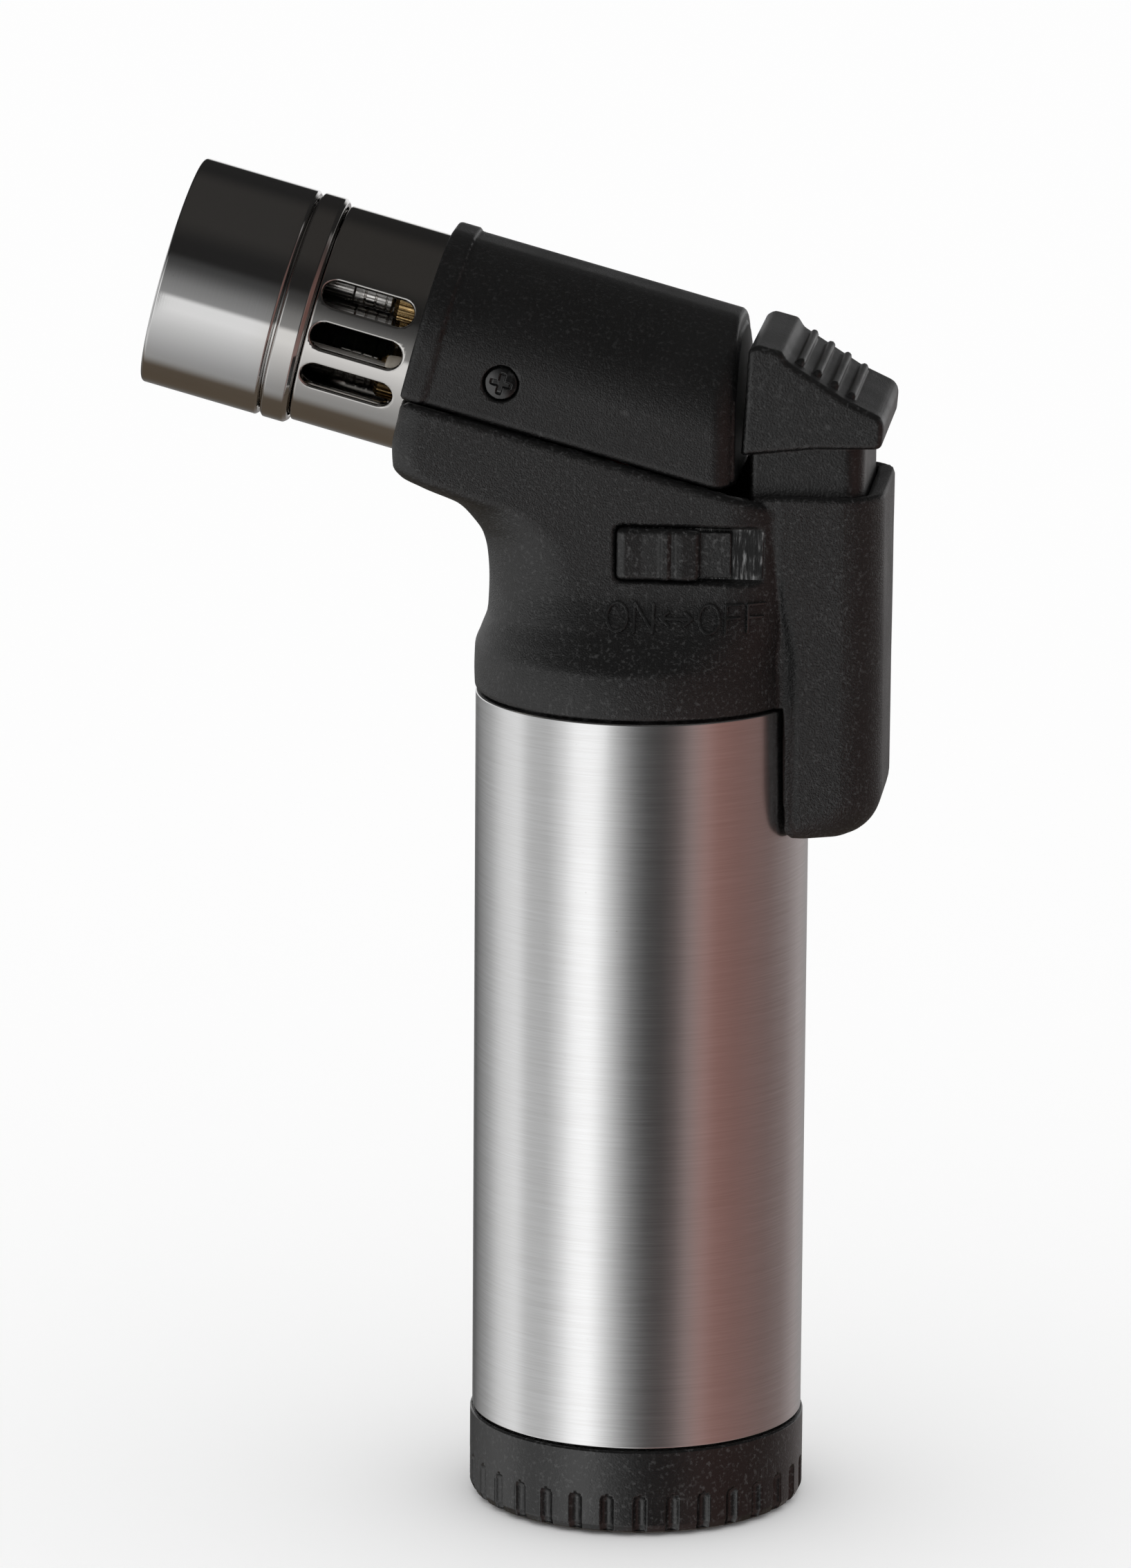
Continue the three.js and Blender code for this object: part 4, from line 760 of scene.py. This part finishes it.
def neck_moulding():
    """Neck, rear housing and spigot joined, then hollowed for the valve, the nozzle, the button, the
    spark unit and the lock."""
    def field(x, y, z):
        m, s = along_nozzle(x, z)
        side = np.abs(y)
        plan = neck_plan(x, y, z)
        skirt = meet(meet(plan, neck_bottom - z, 0.5), m - parting + 0.15, 0.7)
        body = join(skirt, rear_housing(x, side, z), 0.35)
        round_axis = np.hypot(x, y)
        ring = meet(np.abs(round_axis - 17.1) - 0.8, within(z, spigot_bottom, 96.2), 0.2)
        body = join(body, ring, 0.2)
        spark = meet(meet(x - 25.8, side - 8.2, 3.0), 20.5 - x, 0.4)
        hollows = [meet(plan + neck_wall, neck_inside - z, 0.8), meet(round_axis - 3.5, z - 98),
                   meet(spark, within(z, 82.1, 112), 0.3), nozzle_bore(m, y, s)]
        for high, half in ((107.4, 10.65), (97.2, 8.8)):
            deep = meet(meet(x - 25.95, side - half, 2.4), 12.5 - x, 0.4)
            hollows.append(meet(deep, high - z, 0.5))
        body = cut(body, np.minimum.reduce(hollows), 0.25)
        low, high = (window_front, -30, window_low), (window_back, -12.35, window_high)
        window = brick(x, y, z, low, high, 0.8)
        slot = brick(x, y, z, (1.55, -30, 112.0), (8.85, -9.85, 114.6), 0.3)
        return cut(cut(body, window, 0.3), slot, 0.1)

    return net(field, (steps(-30.1, 0.62, -2.6, 0.42, 14.8, 0.55, 28.9),
                       steps(-19.8, 0.5, -8, 0.85, 8, 0.5, 19.8),
                       steps(79.3, 0.7, 94.5, 0.42, 97.9, 0.62, 109.4, 0.38, 117.2, 0.55, 131.2)))


def head_cover_moulding():
    """A hood over the nozzle: short straight sides and a round roof, a raised band at its front,
    hollow inside, and a recess on each side for its screw."""
    def field(m, y, s):
        x = m * sin(nozzle_tilt) - s * cos(nozzle_tilt)
        side = np.abs(y)
        roof = meet(side - cover_side, m - head_top, cover_corner)
        band = meet(roof - 0.35, 23.4 - s, 0.3)
        body = join(roof, band, 0.22)
        body = meet(body, parting + 0.15 - m, 1.0)
        body = meet(body, x - cover_rear + 0.25, 0.5 + 1.9 * np.clip((side - 8) / 5, 0, 1))
        plate = meet(meet(roof + 1.3, x - cover_rear, 0.5), parting + 1.2 - m, 0.5)
        body = meet(np.minimum(body, plate), s - head_front, 0.45)
        hollow = meet(side - cover_side + cover_wall, m - head_top + cover_wall, 10.3)
        hollow = meet(meet(hollow, s - 24.3, 0.5), x - 9.6, 0.5)
        hollow = np.minimum(hollow, nozzle_bore(m, y, s))
        from_screw = np.hypot(s - screw_s, m - screw_m)
        body = cut(body, hollow, 0.15)
        body = cut(body, meet(from_screw - 2.05, 12.65 - side), 0.15)
        return cut(body, from_screw - 1.4, 0.1)

    return net(field, (steps(-4.9, 0.40, 14.9), steps(-14.4, 0.45, 14.4), steps(-16, 0.42, 26.8)))


def button_moulding():
    """The side outline of the button carried across, with four finger ribs, its stem down into the
    housing, and the legs that reach the spark unit, the lever and the lock."""
    b, lip = button_back, button_lip
    outline = rounded_outline([
        (b - 16.05, lip), (b - 7.9, lip + 0.95, 6), (b - 0.3, lip + 1.1, 0.8), (b, lip + 4.6, 1.6),
        (b - 4.3, lip + 6.6, 5), (b - 10.9, lip + 10.8, 1.2), (b - 11.6, lip + 11.9, 0.7),
        (b - 14.3, lip + 12.6, 0.9), (b - 15.3, lip + 12, 0.8)])[0]

    def field(x, y, z):
        side = np.abs(y)
        face = outline_field(x, z, outline)
        ribs = [np.hypot(x - b + 9.6 - 1.9 * k, z - lip - 10.35 + 1.23 * k) - 0.5 for k in range(4)]
        ribs = meet(np.minimum.reduce(ribs), side - 9.5, 0.4)
        cap = join(meet(face, side - button_half, 0.7), ribs, 0.25)
        stem = meet(meet(x - stem_back, side - stem_half, 2.3), stem_front - x, 0.7)
        stem = meet(stem, within(z, stem_bottom, lip + 3), 0.35)
        body = join(cap, stem, 0.3)
        legs = [brick(x, y, z, (21.025, -4, 111.3), (25.425, 4, 115.2), 0.3),
                brick(x, y, z, (14.3, -2.2, 109.0), (15.7, 2.2, 115.2), 0.3),
                brick(x, y, z, (13.1, -10.35, 113.2), (16.2, -8.35, 115.2), 0.2)]
        return np.minimum(body, np.minimum.reduce(legs))

    return net(field, (steps(11.4, 0.36, 28.5), steps(-12.1, 0.42, 12.1), steps(108.6, 0.36, 137.6)))


def lock_moulding():
    """The plan outline of the knob carried up, the flat tail behind it, and inside the neck its
    keeper and tongue."""
    s, floor, face = lock_rest, lock_floor_y, -14.6
    outline = rounded_outline([
        (s, floor), (s, face + 0.3, 0.5), (s + 0.9, face + 0.05, 0.8), (s + 2.8, face + 0.3, 2),
        (s + 4.8, face + 0.3, 0.5), (s + 5.1, face, 0.2), (s + 5.8, face, 0.2),
        (s + 6.2, face + 0.35, 0.2), (s + 6.7, face, 0.2), (s + 7.4, face, 0.3),
        (s + 9.3, face + 0.3, 0.6), (s + 9.3, floor)])[0]

    def field(x, y, z):
        knob = meet(outline_field(x, y, outline), within(z, 110.4, 116.2), 0.6)
        parts = [
            brick(x, y, z, (s + 8.3, -13.2, 110.7), (11.1, floor, 115.9), 0.15),
            brick(x, y, z, (1.9, -12.9, 112.3), (4.9, -11.2, 114.4), 0.2),
            brick(x, y, z, (0.3, -11.35, 110.8), (7.7, -10.25, 115.6), 0.2),
            brick(x, y, z, (6.7, -10.5, 111.5), (9.2, -8.35, 112.8), 0.15)]
        return np.minimum(knob, np.minimum.reduce(parts))

    return net(field, (steps(-2.1, 0.17, 11.4), steps(-15.0, 0.15, -8.1), steps(110.1, 0.2, 116.5)))


def lock_floor():
    """A thin polished plate in the floor of the window, which the lock slides over."""
    def field(x, y, z):
        low = (window_front + 0.2, -12.5, window_low + 0.2)
        window = brick(x, y, z, low, (window_back - 0.2, -12.3, window_high - 0.2), 0.05)
        slot = brick(x, y, z, (1.45, -13, 111.9), (8.95, -12, 114.7), 0.1)
        return cut(window, slot, 0.03)

    return net(field, (steps(window_front, 0.3, window_back), steps(-12.6, 0.1, -12.2),
                       steps(110.0, 0.3, 116.6)), soft=0.02)


def legend():
    """Raised strokes on the side of the neck, either end of an arrow: the words of a switch. Each
    stroke is a band of even width about a line, and the neck's own field gives it its height."""
    low, tall = 104.75, 3.1
    ring = [(cos(t) * 1.15, tall / 2 + sin(t) * tall / 2)
            for t in np.linspace(0, 2 * pi, 17)]
    letter_o = list(zip(ring[:-1], ring[1:]))
    letter_n = [((0, 0), (0, tall)), ((0, tall), (2.1, 0)), ((2.1, 0), (2.1, tall))]
    letter_f = [((0, 0), (0, tall)), ((0, tall), (1.8, tall)), ((0, tall * 0.53), (1.5, tall * 0.53))]
    arrow = [((0, 1.5), (3.6, 1.5)), ((0, 1.5), (0.9, 2.2)), ((0, 1.5), (0.9, 0.8)),
             ((3.6, 1.5), (2.7, 2.2)), ((3.6, 1.5), (2.7, 0.8))]
    word = [(-1.5, letter_o), (0.45, letter_n), (3.35, arrow), (8.85, letter_o), (10.75, letter_f),
            (13.15, letter_f)]

    def field(x, y, z):
        least = np.inf
        for start_x, strokes in word:
            for a, b in strokes:
                least = np.minimum(least, off_line(x - start_x, z - low, a, b))
        return meet(least - 0.16, within(neck_plan(x, y, z), -0.1, 0.34), 0.05)

    return net(field, (steps(-3.0, 0.13, 15.4), steps(-15.9, 0.13, -11.4), steps(104.4, 0.13, 108.2)),
               soft=0.03)


def dial_shell():
    """The dial's ring, turned, with notches round its grip: a notch is a hollow whose depth is one
    less the square of the distance from an upright line, in parts of its half width."""
    first, pitch = radians(-82.8), radians(11.25)

    def notch(angle, height):
        across = (angle - first) / pitch
        across = (across - np.round(across)) * pitch * dial_radius
        up = np.maximum(np.maximum(1.0 - height, height - 4.1), 0)
        return -0.7 * np.clip(1 - (across**2 + up**2) / 0.78, 0, 1) ** 0.8

    return turned([(16.3, 0.25, 0.2), (18.15, 0.25, 0.35), (18.87, 0.58, 0.35), (19.25, 1.35, 0.5),
                   (19.25, dial_top - 0.22, 0.12), (19.08, dial_top, 0.12), (17.7, dial_top, 0.15),
                   (17.7, gear_top, 0.1), (16.3, gear_top, 0.15)], 800, notch, longest=0.3)


def dial_gear():
    """The dial's inner ring gear: a space at each tenth of a turn of the circle, with flat flanks."""
    def tooth(angle, height):
        across = angle / radians(10)
        across = np.abs(across - np.round(across)) * radians(10) * 14.4
        return 1.1 * np.clip((0.92 - across) / 0.45, 0, 1)

    return turned([(14.0, gear_bottom, 0.1), (16.31, gear_bottom, 0.1), (16.31, gear_top, 0.1),
                   (14.0, gear_top, 0.1)], 1080, tooth, -1, 0.6)


def base_plate():
    """A round plate with a raised rim line, its pivot for the small gear, and its holes."""
    def field(x, y, z):
        from_axis = np.hypot(x, y)
        plate = meet(from_axis - base_radius, within(z, 0, 2.4), 0.35)
        plate = cut(plate, meet(np.abs(from_axis - 14.2) - 0.35, z - 0.3), 0.1)
        plate = cut(plate, from_axis - 3.7, 0.3)
        for screw_x, screw_y in base_screw_places:
            off = np.hypot(x - screw_x, y - screw_y)
            plate = cut(cut(plate, off - 1.1, 0.05), meet(off - 2.1, z - 1.2), 0.1)
        pivot = meet(np.hypot(x - 9.6, y) - 1.5, within(z, 2, 2.7), 0.15)
        return np.minimum(plate, pivot)

    return net(field, (steps(-16.3, 0.33, 16.3), steps(-16.3, 0.33, 16.3), steps(-0.2, 0.3, 2.9)))


def vent_sleeve():
    """A tube round the nozzle's axis with three long vents on its near side and a narrower nose.
    The grid runs along the axis, round it and outwards."""
    def bend(s, angle, r):
        return r * np.sin(angle), r * np.cos(angle), s

    def field(m, y, s):
        r = np.hypot(m, y)
        tube = meet(r - vent_radius, within(s, vent_rear, 38.2), 0.3)
        nose = meet(r - nose_radius, within(s, 37.5, nose_end), 0.3)
        body = cut(np.minimum(tube, nose), r - vent_bore, 0.2)
        middle, half = slot_start + slot_length / 2, (slot_length - slot_width) / 2
        for k in (-1, 0, 1):
            angle = k * slot_spread
            off = np.abs(m * cos(angle) + y * sin(angle))
            ahead = m * sin(angle) - y * cos(angle)
            long = np.maximum(np.abs(s - middle) - half, 0)
            slot = meet(np.hypot(off, long) - slot_width / 2, -ahead)
            body = cut(body, slot, 0.28)
        return body

    around = np.arange(248) * 2 * pi / 248
    outwards = np.linspace(vent_bore - 0.25, vent_radius + 0.25, 7)
    return net(field, (steps(19.7, 0.6, 26.6, 0.3, 38.6, 0.6, 44.6), around, outwards), bend,
               wrap=True, soft=0.03)


def flame_plate():
    """The round plate across the mouth, with holes for the three jets and the spark wire."""
    def field(m, y, s):
        plate = meet(np.hypot(m, y) - 11.9, within(s, 44.5, 45.7), 0.2)
        for jet_m, jet_y in jet_places:
            plate = cut(plate, np.hypot(m - jet_m, y - jet_y) - 2.15, 0.15)
        return cut(plate, np.hypot(m - electrode_m, y - electrode_y) - 0.9, 0.12)

    return net(field, (steps(-12.2, 0.3, 12.2), steps(-12.2, 0.3, 12.2), steps(44.3, 0.25, 45.9)))


def jet_nut():
    """A turned nut with fine flutes round it."""
    def flute(angle, height):
        return -0.14 * np.clip(np.cos(angle * 24), 0, 1)

    return turned([(1.2, 24.9, 0.1), (2.1, 24.9, 0.2), (2.4, 25.3, 0.2), (2.4, 29.5, 0.2),
                   (2.0, 30.0, 0.2), (1.2, 30.0, 0.1)], 240, flute, longest=0.6)


def jet_tube():
    """A tube with fine seams behind its collar, a narrower length and an open mouth."""
    seams = [(r, 30.9 + 1.25 * k + up) for k in range(3)
             for r, up in ((1.85, 0), (1.72, 0.06), (1.72, 0.16), (1.85, 0.22))]
    return turned([(0, 30.3), (1.85, 30.3, 0.2), *seams, (1.85, 34.7, 0.1), (1.55, 34.9, 0.1),
                   (1.55, 43.0, 0.1), (1.85, 43.3, 0.1), (1.85, 47.5, 0.15), (1.5, 47.5, 0.15),
                   (1.5, 44.0, 0.2), (0, 44.0)], 64)


def insulator():
    """A rough ceramic tube with a rounded mouth."""
    def wavy(angle, height):
        return 0.03 * np.sin(angle * 3 + height * 2.1) + 0.03 * np.sin(height * 3.7 - angle)

    return turned([(0, 11.8), (1.4, 11.8, 0.3), (1.4, 29.0, 0.45), (0.75, 29.0, 0.2), (0.75, 28.0),
                   (0, 28.0)], 40, wavy, longest=0.5)


def cross_screw(head, low, high, shank, tip):
    """A domed screw along the third axis: a ball cap over the head, a cross recess with sloping
    arms, and its shank."""
    ball = (head**2 + (high - low - 0.3) ** 2) / (2 * (high - low - 0.3))

    def field(u, v, t):
        r = np.hypot(u, v)
        dome = np.hypot(r, t - high + ball) - ball
        cap = meet(meet(dome, r - head, 0.12), low - t, 0.08)
        arm = np.minimum(np.abs(u), np.abs(v)) - 0.34 - 0.15 * (t - high)
        cross = meet(meet(arm, r - head * 0.7 - 0.5 * (t - high), 0.05), high - 1.1 - t)
        screw = cut(cap, cross, 0.06)
        return np.minimum(screw, meet(r - shank, within(t, tip, low + 0.3), 0.15))

    width = steps(-head - 0.2, 0.13, head + 0.2)
    return net(field, (width, width, steps(tip - 0.3, 0.45, low - 0.2, 0.1, high + 0.15)), soft=0.03)


# Pieces
make("neck_moulding", neck_moulding(), neck_black, ["neck_housing"])
make("head_cover_moulding", head_cover_moulding(), cover_black, ["head_cover"],
     nozzle_frame)
make("button_moulding", button_moulding(), button_black, ["ignition_button"],
     body="button")
make("lock_moulding", lock_moulding(), lock_black, ["lock_slide"], body="lock")
make("lock_floor", lock_floor(), scuffed_gloss)
make("legend", legend(), legend_painted_highlight)
make("dial_shell", dial_shell(), dial_black, ["base_dial"], body="dial")
make("dial_gear", dial_gear(), dial_black, ["base_dial"], body="dial")
make("base_plate_moulding", base_plate(), dial_black, ["base_plate"])
sleeve = turned([(sleeve_bore, sleeve_bottom, 0.2), (sleeve_radius, sleeve_bottom, 0.25),
                 (sleeve_radius, sleeve_top, 0.25), (sleeve_bore, sleeve_top, 0.2)], 384, longest=6.0)
make("tank_sleeve_tube", sleeve, tank_metal, ["tank_sleeve"])

make("vent_sleeve_tube", vent_sleeve(), chrome, ["vent_sleeve"], nozzle_frame)
band = turned([(12.25, ring_start, 0.15), (12.75, ring_start, 0.2),
               (shroud_radius, ring_start + 0.45, 0.35), (shroud_radius, ring_end - 0.3, 0.25),
               (12.8, ring_end, 0.15), (12.25, ring_end, 0.15)], 256)
make("shroud_ring_band", band, chrome, ["shroud_ring"], nozzle_frame)
shroud = turned([(12.25, shroud_start, 0.15), (12.85, shroud_start, 0.15),
                 (shroud_radius, shroud_start + 0.3, 0.25), (shroud_radius, shroud_end, 0.40),
                 (12.25, shroud_end, 0.40)], 256, longest=2.0)
make("flame_shroud_tube", shroud, chrome, ["flame_shroud"], nozzle_frame)
make("flame_plate_disc", flame_plate(), blued_steel, ["flame_plate"], nozzle_frame)
for number, (jet_m, jet_y) in enumerate(jet_places, 1):
    jet_frame = (nozzle_frame[0], nozzle_place(jet_m, jet_y, 0))
    for name, shape, finish, slot in ((f"jet_nut_{number}", jet_nut(), brass, "brass"),
                                      (f"jet_tube_{number}", jet_tube(), steel, "steel")):
        make(f"{name}_turned", shape, finish, [name], jet_frame)
electrode_frame = (nozzle_frame[0], nozzle_place(electrode_m, electrode_y, 0))
make("insulator_tube", insulator(), ceramic, ["electrode_insulator"], electrode_frame)
spark_path = [*((electrode_m, electrode_y, s) for s in (28.3, 30.0, 35.3, 41.0, 45.7)),
              (-2.05, -7.1, 47.3), (-1.6, -5.3, 48.3)]
make("spark_wire", swept(spark_path, 0.4, 14, 120), wire_steel, ["electrode_wire"],
     nozzle_frame)
for name, way, node in (("near", -1, "cover_screw_left"), ("far", 1, "cover_screw_right")):
    screw_frame = (np.array([along_m, along_s, way * along_y]), nozzle_place(screw_m, 0, screw_s))
    make(f"cover_screw_{name}", cross_screw(screw_radius, 12.95, 13.55, 1.1, 7.15), screw_black,
         [node], screw_frame)
for number, (screw_x, screw_y) in enumerate(base_screw_places, 1):
    base_frame = (np.diag([1.0, 1.0, -1.0]), np.array([screw_x, screw_y, 0]))
    make(f"base_screw_{number}_cross", cross_screw(1.8, -0.9, -0.25, 0.8, -7.8), steel,
         [f"base_screw_{number}"], base_frame)

# Inner solids that stay as they are
for finish, names in (
        (brass, "regulator_body fill_valve_body fill_valve_stem gas_valve_body gas_valve_stem"),
        (steel, "fill_valve_spring gas_valve_spring gas_valve_nut lever_pin piezo_spring"),
        (pale_plastic, "regulator_gear feed_tube gas_tube piezo_plunger"),
        (carrier, "valve_lever piezo_body burner_mount"), (tank_plastic, "fuel_tank"),
        (rubber, "fill_valve_washer gas_valve_washer"), (sheath, "ignition_wire")):
    for kept in (bpy.data.objects[name] for name in names.split()):
        if not kept.material_slots:
            kept.data.materials.append(finish)
        for place in kept.material_slots:
            place.material = finish


# Camera: its turn, pitch and roll, and where it stands, from the lines of the photograph
camera_turn, camera_pitch, camera_roll = (radians(value) for value in (6.2, 13.08, -0.41))
axes = (Matrix.Rotation(camera_turn, 3, "Z") @ Matrix.Rotation(pi / 2 - camera_pitch, 3, "X")
        @ Matrix.Rotation(-camera_roll, 3, "Z"))
look = -np.array(axes.col[2])
eye = np.array([tank_axis_x - 8.76, 0, 83.44]) - look * 1025.12
lens = bpy.data.cameras.new("camera")
lens.type = "PERSP"
lens.sensor_width = 36
lens.lens = 206.35
lens.clip_end = 100
camera = stood("camera", lens)
camera.matrix_world = Matrix.Translation(Vector(eye / 1000)) @ axes.to_4x4()
bpy.context.scene.camera = camera


def studio():
    """Soft studio surroundings. A glossy surface sees them painted by direction: dark overhead, a
    pale table below, and between them upright panels, read from the turn about the object. All
    other light is one even pale grey."""
    world = bpy.data.worlds.new("studio")
    bpy.context.scene.world = world
    tree = cleared(world)
    parts = parted(put(tree, "TexCoord").outputs["Generated"])
    away = times(parts[1], -1.0)
    turn = reckon("ARCTAN2", parts[0], away)
    turn = reckon("SUBTRACT", turn, camera_turn)
    turn = times(turn, 0.5 / pi, 0.5)
    turn = reckon("FRACT", turn)
    pitch = reckon("ARCSINE", parts[2])

    def painted(at, low, high, bands):
        ramp = put(tree, "ValToRGB", _0=at)
        stops = ramp.color_ramp.elements
        for k, (angle, light, *warm) in enumerate(bands):
            stop = stops[k] if k < 2 else stops.new(1)
            stop.position = (angle - low) / (high - low)
            stop.color = rosy(light, *warm)
        return ramp.outputs[0]

    panels = painted(turn, -180, 180, [
        (-180, 0.28), (-162, 0.07), (-130, 0.33), (-111, 0.66), (-95, 0.76),
        (-84, 0.46), (-68, 0.42), (-56, 0.67), (-47, 1.0), (-34, 1.1),
        (-27, 0.78), (-17, 0.40), (-7, 0.14), (3, 0.05), (14, 0.04, 0.05),
        (24, 0.08, 0.15), (34, 0.19, 0.20), (44, 0.20, 0.40), (54, 0.14, 0.55), (70, 0.12, 0.5),
        (100, 0.12, 0.3), (120, 0.15, 0.2), (143, 0.28, 0.1), (180, 0.28)])
    steep = times(pitch, 180 / pi / 80, 90 / 80)
    table = painted(steep, -90, -10, [
        (-90, 0.13, 0.06), (-84, 0.19, 0.04), (-75, 0.31), (-66, 0.43), (-58, 0.53),
        (-41, 0.74), (-30, 0.92), (-22, 1.02), (-10, 1.02)])
    shaded = times(span(turn, 0.475, 0.53), span(turn, 0.93, 0.83))
    shaded = reckon("MAXIMUM", shaded, span(turn, 0.16, 0.10))
    table = tinted(shaded, table, rosy(0.22, 0.3))
    table = tinted(span(away, -0.25, 0.05), grey(0.10, 0.22), table)
    faded = tinted(span(pitch, 0, radians(24), 0, 0.72), panels, grey(0.03))
    low = tinted(span(pitch, radians(-46), radians(-14)), table, faded)
    back = span(away, -0.2, -0.8)
    backdrop = times(back, span(pitch, radians(-14), radians(-2)))
    middle = tinted(backdrop, low, grey(0.95))
    over = times(back, radians(20))
    top = span(reckon("ADD", pitch, over), radians(21), radians(30))
    ceiling = tinted(span(pitch, radians(38), radians(65)), grey(0.02, 0.02),
                     grey(0.038, 0.06))
    seen = tinted(top, middle, ceiling)
    glossy = put(tree, "LightPath").outputs["Is Glossy Ray"]
    light = tinted(glossy, grey(1.0), seen)
    background = put(tree, "Background", Color=light, Strength=1.0)
    put(tree, "OutputWorld", Surface=background.outputs[0])


def stand(name, points, quads, paint):
    """A piece of the surroundings. paint gives a share and two shaders, which are mixed by it: none
    of it leaves the first and all of it the second."""
    mesh = bpy.data.meshes.new(name)
    mesh.from_pydata([tuple(point) for point in points], [], quads)
    piece = stood(name, mesh)
    material = bpy.data.materials.new(name)
    tree = cleared(material)
    share, first, second = paint(tree, put(tree, "LightPath").outputs,
                                 put(tree, "BsdfTransparent").outputs[0])
    mixed = put(tree, "MixShader", _0=share, _1=first, _2=second).outputs[0]
    put(tree, "OutputMaterial", Surface=mixed)
    mesh.materials.append(material)


def table_top():
    """A wide pale floor. Glossy rays pass through it to the painted table, and so do rays that come
    from below or start on a face that lies on it, so that the underside can be seen."""
    reach, drop = 30.0, 0.00002

    def paint(tree, rays, clear):
        pale = put(tree, "BsdfDiffuse", Color=grey(0.985)).outputs[0]
        resting = reckon("LESS_THAN", rays["Ray Length"], 3 * drop)
        below = reckon("MAXIMUM", put(tree, "NewGeometry").outputs["Backfacing"], resting)
        return reckon("MAXIMUM", rays["Is Glossy Ray"], below), pale, clear

    stand("floor", [(-reach, -reach, -drop), (reach, -reach, -drop), (reach, reach, -drop),
                    (-reach, reach, -drop)], [(0, 1, 2, 3)], paint)


def card():
    """A pale card that only glossy rays meet, fading at its lower and upper edges. It stands where
    the nozzle mirrors the eye from just below its middle line: each row of points lies 120 mm out
    along one mirrored direction, v less twice its share along the nozzle's normal."""
    points = []
    angles = np.radians(np.linspace(-1.5, 15, 12))
    for down in angles:
        normal = -along_m * sin(down) - along_y * cos(down)
        out = look - 2 * (look @ normal) * normal
        points.append([nozzle_origin + along_s * s + 12.8 * normal + 120 * out for s in (14, 62)])
    points = (np.array(points).reshape(-1, 3) + [tank_axis_x, 0, 0]) / 1000
    lean = tan(nozzle_tilt)
    levels = points[:, 2] + points[:, 0] * lean
    low, high = float(levels.min()), float(levels.max())

    def paint(tree, rays, clear):
        parts = parted(put(tree, "TexCoord").outputs["Object"])
        level = times(parts[0], lean, parts[2])
        shown = times(span(level, low, low * 0.5 + high * 0.5),
                      span(level, high, high * 0.8 + low * 0.2))
        bright = put(tree, "Emission", Color=grey(1.0), Strength=1.0).outputs[0]
        return times(shown, rays["Is Glossy Ray"]), clear, bright

    stand("card", points, [(2 * k, 2 * k + 1, 2 * k + 3, 2 * k + 2) for k in range(len(angles) - 1)],
          paint)


studio()
table_top()
card()
bpy.context.scene.view_settings.view_transform = "Standard"
